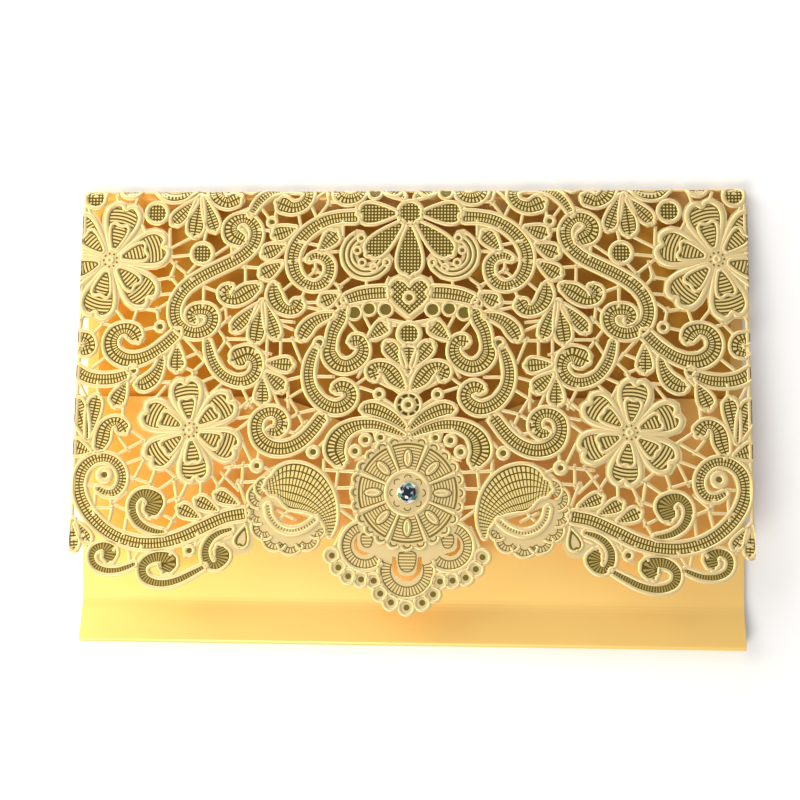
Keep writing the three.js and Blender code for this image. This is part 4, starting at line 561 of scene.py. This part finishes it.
class Sheetwork:
    """One mesh of pieces that lie on the flap, with a map of millimetres along and across."""

    def __init__(self, name, material):
        self.name = name
        self.material = material
        self.points = []
        self.faces = []
        self.maps = []
        self.central = []

    def quad_grid(self, rows, closed=False):
        """Joins rows of (x, v, w, along, across); a shape on the centre line isn't mirrored."""
        start = len(self.points)
        width = len(rows[0])
        for row in rows:
            for x, v, w, along, across in row:
                self.points.append(flap_point(x, v, w))
                self.maps.append((along, across))
        count = len(rows)
        for i in range(count if closed else count - 1):
            a = start + i * width
            b = start + (i + 1) % count * width
            for k in range(width - 1):
                self.faces.append((a + k, a + k + 1, b + k + 1, b + k))
        middle = sum(p[0] for p in self.points[start:]) / (len(self.points) - start)
        if abs(middle) < CENTRAL_REACH * MM:
            self.central += list(range(start, len(self.points)))

    def field(self, stations, w=FIELD_LIFT, grow=FIELD_GROWTH):
        """A strip that fills a stroke and reaches a little under its border."""
        along = 0
        rows = []
        for i, (s, n) in enumerate(zip(stations, normals(stations))):
            if i:
                along += math.hypot(s[0] - stations[i - 1][0], s[1] - stations[i - 1][1])
            half = s[2] + grow
            rows.append([(s[0] + n[0] * half * t, s[1] + n[1] * half * t, w, along, t)
                         for t in FIELD_SHARES])
        self.quad_grid(rows)

    def disc(self, x, v, radius, w=FIELD_LIFT):
        """A filled circle."""
        turns = [math.tau * i / DISC_SIDES for i in range(DISC_SIDES)]
        self.quad_grid([[(x + radius * r * c, v + radius * r * s, w, radius * r * c, radius * r * s)
                         for r in DISC_SHARES]
                        for c, s in ((math.cos(a), math.sin(a)) for a in turns)], True)

    def ring(self, x, v, inner, outer, w=FIELD_LIFT, start=0, end=360, arcs=False):
        """A ring or a part of one; arcs makes its lines run round instead of out."""
        count = max(LEAST_RING, round(outer * abs(end - start) / RING_SPACING))
        middle = (inner + outer) / 2
        rows = []
        for i in range(count + 1):
            a = math.radians(start + (end - start) * i / count)
            rows.append([(x + r * math.cos(a), v + r * math.sin(a), w, r if arcs else a * middle, t)
                         for r, t in ((inner, -1), (middle, 0), (outer, 1))])
        self.quad_grid(rows)

    def arc_ridge(self, x, v, radius, start, end, width=PRINT_WIDTH, height=PRINT_HEIGHT,
                  base=PRINT_LIFT):
        """A ridge along a part of a circle, between two angles in degrees."""
        count = max(LEAST_ARC, round(radius * abs(end - start) / ARC_SPACING))
        turns = [math.radians(start + (end - start) * i / count) for i in range(count + 1)]
        self.ridge([(x + radius * math.cos(a), v + radius * math.sin(a)) for a in turns],
                   width, height, base, closed=False)

    def ridge(self, line, width=RIM, height=RIM_HEIGHT, base=0.0, closed=True):
        """A rounded ridge along a line."""
        section = [(width / 2 * side, base + height * up) for side, up in RIDGE_SECTION]
        rows = []
        count = len(line)
        for i, p in enumerate(line):
            a = line[i - 1] if closed or i else p
            b = line[(i + 1) % count] if closed or i < count - 1 else p
            length = math.hypot(b[0] - a[0], b[1] - a[1]) or 1
            nx = -(b[1] - a[1]) / length
            nv = (b[0] - a[0]) / length
            rows.append([(p[0] + nx * o, p[1] + nv * o, w, i * STEP, o) for o, w in section])
        self.quad_grid(rows, closed)

    def polygon(self, line, w=FIELD_LIFT, axis=(0, 0, 0), bow=0.0):
        """A filled outline; along runs on the axis (x, v, angle), and bow bends the lines."""
        x0, v0, angle = axis
        centre = (sum(p[0] for p in line) / len(line), sum(p[1] for p in line) / len(line))
        rows = []
        for p in line:
            row = []
            for t in POLYGON_SHARES:
                x = centre[0] + (p[0] - centre[0]) * t
                v = centre[1] + (p[1] - centre[1]) * t
                along = (x - x0) * math.cos(angle) + (v - v0) * math.sin(angle)
                across = -(x - x0) * math.sin(angle) + (v - v0) * math.cos(angle)
                row.append((x, v, w, along + bow * across * across, across))
            rows.append(row)
        self.quad_grid(rows, True)

    def finish(self):
        """Adds the left half as a mirror image and makes the object, clipped to the card."""
        count = len(self.points)
        central = set(self.central)
        points = self.points + [(-x, y, z) for x, y, z in self.points]
        faces = self.faces + [tuple(count + i for i in reversed(f)) for f in self.faces
                              if f[0] not in central]
        limit = (CARD_HALF + CLIP_MARGIN) * MM
        points = [(max(-limit, min(limit, x)), y, z) for x, y, z in points]
        mesh = bpy.data.meshes.new(self.name)
        mesh.from_pydata(points, [], faces)
        layer = mesh.uv_layers.new(name="millimetres")
        maps = self.maps + self.maps
        for loop in mesh.loops:
            layer.data[loop.index].uv = maps[loop.vertex_index]
        mesh.materials.append(self.material)
        mesh.shade_smooth()
        piece = bpy.data.objects.new(self.name, mesh)
        bpy.context.collection.objects.link(piece)
        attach(piece, "root")


def card_material(name, colour, roughness=0.42, metallic=0.35, specular=0.5):
    """Card of one colour with a soft metallic sheen."""
    material = bpy.data.materials.new(name)
    material.use_nodes = True
    shader = material.node_tree.nodes["Principled BSDF"]
    shader.inputs["Base Color"].default_value = (*colour, 1)
    shader.inputs["Roughness"].default_value = roughness
    shader.inputs["Metallic"].default_value = metallic
    shader.inputs["Specular IOR Level"].default_value = specular
    return material


def maths(tree, operation, a, b=None):
    """Output of a maths node; a and b are numbers or the outputs of other nodes."""
    node = tree.nodes.new("ShaderNodeMath")
    node.operation = operation
    for slot, value in ((0, a), (1, b)):
        if value is None:
            continue
        if isinstance(value, (int, float)):
            node.inputs[slot].default_value = value
        else:
            tree.links.new(value, node.inputs[slot])
    return node.outputs[0]


def stripes(tree, value, pitch, share):
    """1 on the light share of each pitch, 0 on the dark line between."""
    part = maths(tree, "FRACT", maths(tree, "DIVIDE", value, pitch))
    off = maths(tree, "ABSOLUTE", maths(tree, "SUBTRACT", part, 0.5))
    return maths(tree, "LESS_THAN", off, share / 2)


def hatched(name, along, share, across=None, across_share=0.6, centre=0, edge=None, turned=0.0,
            light=LIGHT_FIELD, dark=OLIVE):
    """Card with light cells between dark printed lines, slightly sunk.

    along and across are the pitches of the lines, and centre and edge bound the cells across.
    """
    material = card_material(name, light, roughness=0.5, metallic=0.3, specular=0.2)
    tree = material.node_tree
    shader = tree.nodes["Principled BSDF"]
    source = tree.nodes.new("ShaderNodeUVMap")
    source.uv_map = "millimetres"
    split = tree.nodes.new("ShaderNodeSeparateXYZ")
    vector = source.outputs[0]
    if turned:
        turn = tree.nodes.new("ShaderNodeVectorRotate")
        turn.rotation_type = "Z_AXIS"
        turn.inputs["Angle"].default_value = math.radians(turned)
        tree.links.new(vector, turn.inputs["Vector"])
        vector = turn.outputs[0]
    tree.links.new(vector, split.inputs[0])
    u, v = split.outputs[0], split.outputs[1]
    mask = stripes(tree, u, along, share)
    if across:
        mask = maths(tree, "MULTIPLY", mask, stripes(tree, v, across, across_share))
    size = maths(tree, "ABSOLUTE", v)
    if centre:
        mask = maths(tree, "MULTIPLY", mask, maths(tree, "GREATER_THAN", size, centre))
    if edge:
        mask = maths(tree, "MULTIPLY", mask, maths(tree, "LESS_THAN", size, edge))
    mix = tree.nodes.new("ShaderNodeMix")
    mix.data_type = "RGBA"
    tree.links.new(mask, mix.inputs[MIX_FACTOR])
    mix.inputs[MIX_DARK].default_value = (*dark, 1)
    mix.inputs[MIX_LIGHT].default_value = (*light, 1)
    tree.links.new(mix.outputs[MIX_RESULT], shader.inputs["Base Color"])
    bump = tree.nodes.new("ShaderNodeBump")
    bump.inputs["Strength"].default_value = HATCH_BUMP
    bump.inputs["Distance"].default_value = HATCH_DEPTH
    tree.links.new(mask, bump.inputs["Height"])
    tree.links.new(bump.outputs[0], shader.inputs["Normal"])
    return material


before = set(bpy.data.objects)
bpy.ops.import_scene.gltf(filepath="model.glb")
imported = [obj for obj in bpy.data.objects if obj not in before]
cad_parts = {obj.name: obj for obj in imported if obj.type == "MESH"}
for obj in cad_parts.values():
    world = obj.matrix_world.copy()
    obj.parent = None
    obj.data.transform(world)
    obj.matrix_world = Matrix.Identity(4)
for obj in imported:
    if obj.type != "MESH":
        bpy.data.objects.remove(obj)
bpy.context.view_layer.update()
cream = card_material("cream_border", CREAM, roughness=0.38, metallic=0.3)
gold = card_material("gold_card", GOLD, roughness=0.42, metallic=0.35, specular=0.3)
olive = card_material("olive_print", OLIVE_FILL, roughness=0.5, metallic=0.2, specular=0.2)
cells = hatched("cell_hatch", along=0.84, share=0.5, centre=0.12, edge=0.8)
commas = hatched("comma_hatch", along=0.72, share=0.5, edge=0.82, light=COMMA_FIELD)
seeds = hatched("paisley_hatch", along=0.86, share=0.66, across=0.333, across_share=0.82, edge=0.93)
grid = hatched("grid_hatch", along=0.92, share=0.5, across=0.92, across_share=0.5)
lattice = hatched("lattice_hatch", along=0.95, share=0.56, across=0.95, across_share=0.56,
                  turned=45)
lines = hatched("line_hatch", along=1.0, share=0.52, light=LIGHT_PETAL)
fine = hatched("fine_hatch", along=0.82, share=0.62, light=CREAM, dark=FINE_LINE)

rims = Sheetwork("lace_borders", cream)
veins = Sheetwork("lace_bars", cream)
cell_fields = Sheetwork("scroll_fields", cells)
comma_fields = Sheetwork("comma_fields", commas)
seed_fields = Sheetwork("paisley_fields", seeds)
grid_fields = Sheetwork("grid_fields", grid)
lattice_fields = Sheetwork("heart_field", lattice)
line_fields = Sheetwork("petal_fields", lines)
fine_fields = Sheetwork("medallion_fields", fine)
dots = Sheetwork("olive_fields", olive)
plain = Sheetwork("plain_fields", cream)


def build_strokes():
    """Scrolls and curled leaves; the last ones, the commas and the paisley, have their own fill."""
    for index, points in enumerate(SCROLLS):
        stations = stroke_stations(points)
        rims.ridge(outline(stations, RIM_OFFSET), RIM_WIDTH)
        (cell_fields if index < len(SCROLLS) - COMMAS else comma_fields).field(stations)
    for index, points in enumerate(CURLED_LEAVES):
        stations = stroke_stations(points)
        rims.ridge(outline(stations, RIM_OFFSET), RIM_WIDTH)
        (seed_fields if index == len(CURLED_LEAVES) - 1 else cell_fields).field(stations)


def build_leaves():
    """Straight leaves: the first are filled with a grid, and the last is a teardrop in outline."""
    for index, leaf in enumerate(LEAVES):
        stations = leaf_stations(leaf)
        if index == len(LEAVES) - 1:
            rims.ridge(outline(stations, -0.2), width=0.8)
            dots.ridge(outline(stations[6:-2], -0.85), width=0.55, height=PRINT_HEIGHT, base=0.04)
            continue
        rims.ridge(outline(stations, RIM_OFFSET), RIM_WIDTH)
        if index < GRID_LEAVES:
            grid_fields.polygon(outline(stations, LEAF_FIELD_GROWTH))
        else:
            cell_fields.field(stations)


def build_wheel(x, v):
    """Hub and dark cells inside the wheel's rim."""
    rims.ridge(circle(x, v, 1.4), width=1.2, height=0.3, base=0.05)
    dots.disc(x, v, radius=0.7, w=0.1)
    for start in range(0, 360, WHEEL_CELL_PITCH):
        dots.ring(x, v, inner=2.2, outer=3.0, w=0.08, start=start + WHEEL_CELL_INSET,
                  end=start + WHEEL_CELL_PITCH - WHEEL_CELL_INSET)


def build_discs():
    """Round eyelets, the large ones with a grid, and the wheel."""
    for x, v, radius, rim in DISCS:
        rims.ridge(circle(x, v, radius + rim / 2), rim)
        if [x, v] == WHEEL:
            plain.disc(x, v, radius + DISC_GROWTH)
            build_wheel(x, v)
        else:
            (grid_fields if radius > GRID_DISC_RADIUS else dots).disc(x, v, radius + DISC_GROWTH)


def build_bars():
    """Thin bars of the web, and the long one down the card's side edge."""
    for x, v, end_x, end_v in BARS:
        reach = WEB_BAR_REACH / math.hypot(end_x - x, end_v - v)
        spots = [-reach + (1 + 2 * reach) * i / WEB_BAR_STEPS for i in range(WEB_BAR_STEPS + 1)]
        veins.ridge([(x + (end_x - x) * t, v + (end_v - v) * t) for t in spots],
                    WEB_BAR, WEB_BAR_HEIGHT, closed=False)
    veins.ridge([(CARD_HALF - EDGE_BAR_INSET, EDGE_BAR_LENGTH * i / EDGE_BAR_STEPS)
                 for i in range(EDGE_BAR_STEPS + 1)], EDGE_BAR, WEB_BAR_HEIGHT, closed=False)


def petal_line(half, x, v, radius, angle, step=SEED_STEP):
    """Closed line of a petal from one half of it, given in shares of the flower's radius."""
    whole = half + [[a, -c] for a, c in reversed(half[:-1])]
    return closed_smooth([[x + radius * (a * math.cos(angle) - c * math.sin(angle)),
                           v + radius * (a * math.sin(angle) + c * math.cos(angle))]
                          for a, c in whole], step)


def build_flower(x, v, radius, first):
    """Flower of petals with an outer field and a raised seed, and a hub with a ring of dots."""
    for i in range(PETALS):
        angle = math.radians(first + 360 / PETALS * i)
        petal = petal_line(PETAL_HALF, x, v, radius, angle, PETAL_STEP)
        rims.ridge(petal, PETAL_RIM)
        plain.polygon(petal)
        outer = petal_line(PETAL_FIELD_HALF, x, v, radius, angle)
        line_fields.polygon(outer, PETAL_FIELD_LIFT, (x, v, angle), PETAL_BOW)
        dots.ridge(outer, width=0.34, height=PRINT_HEIGHT, base=PETAL_FIELD_LIFT)
        inner = petal_line(SEED_HALF, x, v, radius, angle)
        seed_rim = petal_line(SEED_RIM_HALF, x, v, radius, angle)
        rims.ridge(seed_rim, width=1.0, height=0.34, base=0.08)
        line_fields.polygon(inner, SEED_LIFT, (x, v, angle), SEED_BOW)
        dots.ridge(inner, PRINT_WIDTH, PRINT_HEIGHT, SEED_LIFT)
    plain.disc(x, v, FLOWER_HUB, FLOWER_HUB_LIFT)
    rims.ridge(circle(x, v, 0.8), width=0.9, height=0.3, base=0.25)
    for i in range(FLOWER_HUB_DOTS):
        a = math.tau * i / FLOWER_HUB_DOTS
        dots.disc(x + FLOWER_HUB_DOTS_AT * math.cos(a), v + FLOWER_HUB_DOTS_AT * math.sin(a),
                  radius=0.28, w=0.36)


def build_heart():
    """Heart with a lattice and an eyelet."""
    heart = HEART_HALF + [[-x, v] for x, v in reversed(HEART_HALF[1:-1])]
    heart_line = closed_smooth(heart, HEART_STEP)
    rims.ridge(heart_line)
    lattice_fields.polygon(heart_line)
    plain.disc(0, HEART_CENTRE_V, radius=2.0, w=0.1)
    rims.ridge(circle(0, HEART_CENTRE_V, 1.5), width=1.1, height=0.25, base=0.1)
    dots.disc(0, HEART_CENTRE_V, radius=0.9, w=0.14)


def build_shell():
    """Shell of three ribs with dark grooves, and the dots along its inner side."""
    for offset, width in SHELL_RIBS:
        arc = [(SHELL_X + (SHELL_RADIUS + offset) * math.cos(math.radians(d)),
                SHELL_V + (SHELL_RADIUS + offset) * math.sin(math.radians(d)))
               for d in range(SHELL_START, SHELL_END + 1, SHELL_STEP)]
        rims.ridge(arc, width, SHELL_RIB_HEIGHT, closed=False)
        groove = SHELL_RADIUS + offset - width / 2 - GROOVE_GAP
        dots.ring(SHELL_X, SHELL_V, groove - GROOVE_HALF, groove + GROOVE_HALF, GROOVE_LIFT,
                  SHELL_START + GROOVE_INSET, SHELL_END - GROOVE_INSET)
    for x, v in SHELL_DOTS:
        rims.ridge(circle(x, v, 1.0), width=0.8, height=0.25, base=0.08)
        dots.disc(x, v, radius=0.5, w=0.12)


def medallion_point(radius, angle, off=0.0):
    """Point at a radius and an angle in radians, moved sideways by off."""
    return (radius * math.cos(angle) - off * math.sin(angle),
            MEDALLION_V + radius * math.sin(angle) + off * math.cos(angle))


def oval_line(angle, half_length, half_width, count):
    """Closed oval, long along the medallion's radius."""
    turns = [math.tau * k / count for k in range(count)]
    return [medallion_point(OVAL_AT + half_length * math.cos(t), angle, half_width * math.sin(t))
            for t in turns]


def build_sector(i):
    """Sector of the medallion with its scallops, field, oval and spoke.

    The first and the last sector lie on the centre line. Their scallops, dark edges and spokes
    are drawn on one side only, because the mirror image adds the other.
    """
    centre = SECTOR_PITCH * i
    middle = math.radians(centre)
    on_centre_line = i in (SECTORS[0], SECTORS[-1])
    for shift in BUMP_SHIFTS:
        if on_centre_line and shift * i < 0:
            continue
        b = centre + shift
        x, v = medallion_point(BUMP_AT, math.radians(b))
        rims.arc_ridge(x, v, 1.65, b - 68, b + 68, width=0.8, height=RIM_HEIGHT, base=0.0)
        dots.arc_ridge(x, v, 0.95, b - 85, b + 85, width=0.32, height=0.06)
    x, v = medallion_point(3.9, middle)
    dots.arc_ridge(x, v, 0.95, centre - 80, centre + 80, width=0.28, height=0.08)
    fine_fields.ring(0, MEDALLION_V, SECTOR_INNER, SECTOR_OUTER, PRINT_LIFT, centre - SECTOR,
                     centre + SECTOR, arcs=True)
    dots.arc_ridge(0, MEDALLION_V, SECTOR_OUTER, centre - SECTOR, centre + SECTOR)
    for side in (-1, 1):
        if on_centre_line and side * i > 0:
            continue
        edge = math.radians(centre + side * SECTOR)
        dots.ridge([medallion_point(r, edge) for r in SECTOR_SIDE],
                   PRINT_WIDTH, PRINT_HEIGHT, PRINT_LIFT, closed=False)
    oval = oval_line(middle, half_length=2.5, half_width=1.25, count=24)
    plain.polygon(oval, w=0.12)
    dots.ridge(oval, width=0.34, height=0.06, base=0.1)
    ring = oval_line(middle, half_length=1.75, half_width=0.6, count=20)
    rims.ridge(ring, width=0.55, height=0.2, base=0.12)
    if i < SECTORS[-1]:
        edge = math.radians(centre + SECTOR_PITCH / 2)
        rims.ridge([medallion_point(r, edge) for r in SPOKE],
                   width=0.8, height=0.28, base=0.02, closed=False)


def build_lobes():
    """Lobes under the medallion with their tick bands, the tongues in them and the hem's dots."""
    for (x, v, radius), inner, before, after in zip(LOBES, LOBE_BANDS, LOBE_STARTS, LOBE_ENDS):
        out = math.degrees(math.atan2(v - MEDALLION_V, x))
        rims.arc_ridge(x, v, radius + 0.45, out - before, out + after, width=1.2,
                       height=RIM_HEIGHT, base=0.0)
        dots.arc_ridge(x, v, radius - 0.25, out - before, out + after)
        fine_fields.ring(x, v, inner, radius - 0.3, w=0.04, start=out - before, end=out + after)
        dots.arc_ridge(x, v, inner, out - before, out + after)
    for tongue in TONGUES:
        line = closed_smooth(tongue, TONGUE_STEP)
        fine_fields.polygon(line, w=0.06, axis=(0, MEDALLION_V, math.pi / 2))
        dots.ridge(line, PRINT_WIDTH, PRINT_HEIGHT, base=0.06)
    for x, v in HEM_DOTS:
        rims.ridge(circle(x, v, HEM_DOT_RIM - 0.55), width=1.0)
        dots.disc(x, v, radius=0.8, w=0.05)


def build_fans():
    """Scallops round the paisley with their ticks, and the band inside them."""
    for x, v, radius in FAN:
        out = math.degrees(math.atan2(v - FAN_CENTRE[1], x - FAN_CENTRE[0]))
        border = radius - FAN_BORDER_INSET
        turns = [math.radians(out + d) for d in FAN_BORDER_TURNS]
        rims.ridge([(x + border * math.cos(a), v + border * math.sin(a)) for a in turns],
                   width=0.9, closed=False)
        inner = max(FAN_LEAST_INNER, radius - FAN_DEPTH)
        fine_fields.ring(x, v, inner, radius - 0.9, PRINT_LIFT, out - FAN_ARC, out + FAN_ARC)
        dots.arc_ridge(x, v, inner, out - FAN_ARC, out + FAN_ARC, width=0.28)
        dots.arc_ridge(x, v, radius - 0.95, out - FAN_ARC, out + FAN_ARC, width=0.26)
    band = [[x, v, max(FAN_BAND_LEAST, half - RIM)] for x, v, half in smooth(FAN_BAND)]
    fine_fields.field(band, w=0.12)
    rims.ridge(outline(band, RIM / 2), RIM, height=0.35)


def dress_sheets(nodes):
    """Gives the wrap gold card, cream on the flap's outer face, and the insert a dark orange-brown
    of painted shade and painted warm bounce light.
    """
    wrap = nodes["folded_wrap"]
    wrap.data.materials.clear()
    wrap.data.materials.append(gold)
    wrap.data.materials.append(cream)
    for face in wrap.data.polygons:
        y = face.center.y / MM - FOLD_CENTRE_Y
        z = face.center.z / MM - FOLD_CENTRE_Z
        outward = y * math.cos(FLAP_TURN) + z * math.sin(FLAP_TURN)
        past_fold = z * math.cos(FLAP_TURN) > y * math.sin(FLAP_TURN)
        distance = outward if past_fold else math.hypot(y, z)
        if (past_fold or z > 0) and abs(distance - FOLD_RADIUS - SHEET / 2) < FACE_TOLERANCE:
            face.material_index = 1
    insert = nodes["insert_card"]
    insert.data.materials.clear()
    # The insert's dark orange-brown is painted shade and painted warm bounce light
    shaded_paper = card_material("insert_paper", INSERT_PAINTED_SHADE, roughness=0.55, metallic=0.15)
    insert.data.materials.append(shaded_paper)


def build_stone():
    """Faceted stone on the medallion, in place of the plain one, its facet colours painted
    reflections and highlights.
    """
    points = [(0, 0, GEM_HEIGHT)]
    for share, height, shift in GEM_RINGS:
        turns = [math.tau * (k + shift) / GEM_SIDES for k in range(GEM_SIDES)]
        points += [(GEM_RADIUS * share * math.cos(a), GEM_RADIUS * share * math.sin(a), height)
                   for a in turns]
    faces = [(0, 1 + k, 1 + (k + 1) % GEM_SIDES) for k in range(GEM_SIDES)]
    reflection_tones = [0] * GEM_SIDES
    for ring, ring_reflection_tones in enumerate(GEM_REFLECTION_TONES):
        a = 1 + ring * GEM_SIDES
        b = a + GEM_SIDES
        for k in range(GEM_SIDES):
            after = (k + 1) % GEM_SIDES
            faces += [(a + k, b + k, a + after), (b + k, b + after, a + after)]
            reflection_tones += [ring_reflection_tones[k % len(ring_reflection_tones)]] * 2
    last_ring = 1 + len(GEM_REFLECTION_TONES) * GEM_SIDES
    faces.append(tuple(last_ring + k for k in reversed(range(GEM_SIDES))))
    reflection_tones.append(0)
    mesh = bpy.data.meshes.new("rhinestone_facets")
    mesh.from_pydata([Vector(p) * MM for p in points], [], faces)
    for name, colour in GEM_PAINTED_REFLECTIONS:
        mesh.materials.append(card_material(name, colour, roughness=0.08, metallic=0.3))
    # Each facet gets a painted reflection colour: dark, grey, green or a near-white painted
    # highlight
    for face, reflection_tone in zip(mesh.polygons, reflection_tones):
        face.material_index = reflection_tone
    seat = Vector(flap_point(0, MEDALLION_V, GEM_GAP))
    normal = (Vector(flap_point(0, MEDALLION_V, 5)) - seat).normalized()
    turn = Vector((0, 0, 1)).rotation_difference(normal).to_matrix().to_4x4()
    stone = bpy.data.objects.new("rhinestone_facets", mesh)
    bpy.context.collection.objects.link(stone)
    stone.matrix_world = Matrix.Translation(seat) @ turn
    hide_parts("rhinestone")
    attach(stone, "root")


def build_table():
    """Pale table top under the card."""
    mesh = bpy.data.meshes.new("table_top")
    corners = [(-1, -1), (1, -1), (1, 1), (-1, 1)]
    mesh.from_pydata([(x * TABLE_HALF, y * TABLE_HALF, 0) for x, y in corners], [], [(0, 1, 2, 3)])
    white = card_material("white_table", TABLE, roughness=0.5, metallic=0, specular=0.3)
    mesh.materials.append(white)
    table = bpy.data.objects.new("table_top", mesh)
    bpy.context.collection.objects.link(table)


def light_room():
    """Plain world and the lamps."""
    world = bpy.data.worlds.new("room")
    bpy.context.scene.world = world
    world.use_nodes = True
    background = world.node_tree.nodes["Background"]
    background.inputs["Color"].default_value = (*ROOM, 1)
    background.inputs["Strength"].default_value = WORLD_STRENGTH
    for name, place, target, size, power, colour in LAMPS:
        data = bpy.data.lights.new(name, "AREA")
        data.size = size
        data.energy = power
        data.color = colour
        lamp = bpy.data.objects.new(name, data)
        lamp.location = place
        aim = Vector(target) - Vector(place)
        lamp.rotation_euler = aim.to_track_quat("-Z", "Y").to_euler()
        bpy.context.collection.objects.link(lamp)


def place_camera():
    """Camera over the card, looking down with the card's top fold at the top of the picture."""
    data = bpy.data.cameras.new("camera")
    data.sensor_width = SENSOR_WIDTH
    data.lens = LENS
    camera = bpy.data.objects.new("camera", data)
    pose = Matrix.Translation(CAMERA)
    for degrees, axis in ((-90, "X"), (YAW, "Z"), (90 + PITCH, "X"), (ROLL, "Z")):
        pose = pose @ Matrix.Rotation(math.radians(degrees), 4, axis)
    camera.matrix_world = pose
    bpy.context.collection.objects.link(camera)
    bpy.context.scene.camera = camera


build_strokes()
build_leaves()
build_discs()
build_bars()
for flower in FLOWERS:
    build_flower(*flower)
build_heart()
build_shell()
plain.disc(0, MEDALLION_V, MEDALLION_PLATE, MEDALLION_PLATE_LIFT)
rims.ridge(circle(0, MEDALLION_V, MEDALLION_HUB), RIM_WIDTH)
for number in SECTORS:
    build_sector(number)
build_lobes()
build_fans()
for work in (rims, veins, cell_fields, comma_fields, seed_fields, grid_fields, lattice_fields,
             line_fields, fine_fields, dots, plain):
    work.finish()
dress_sheets(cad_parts)
build_stone()
build_table()
light_room()
place_camera()
bpy.context.scene.view_settings.view_transform = "Standard"
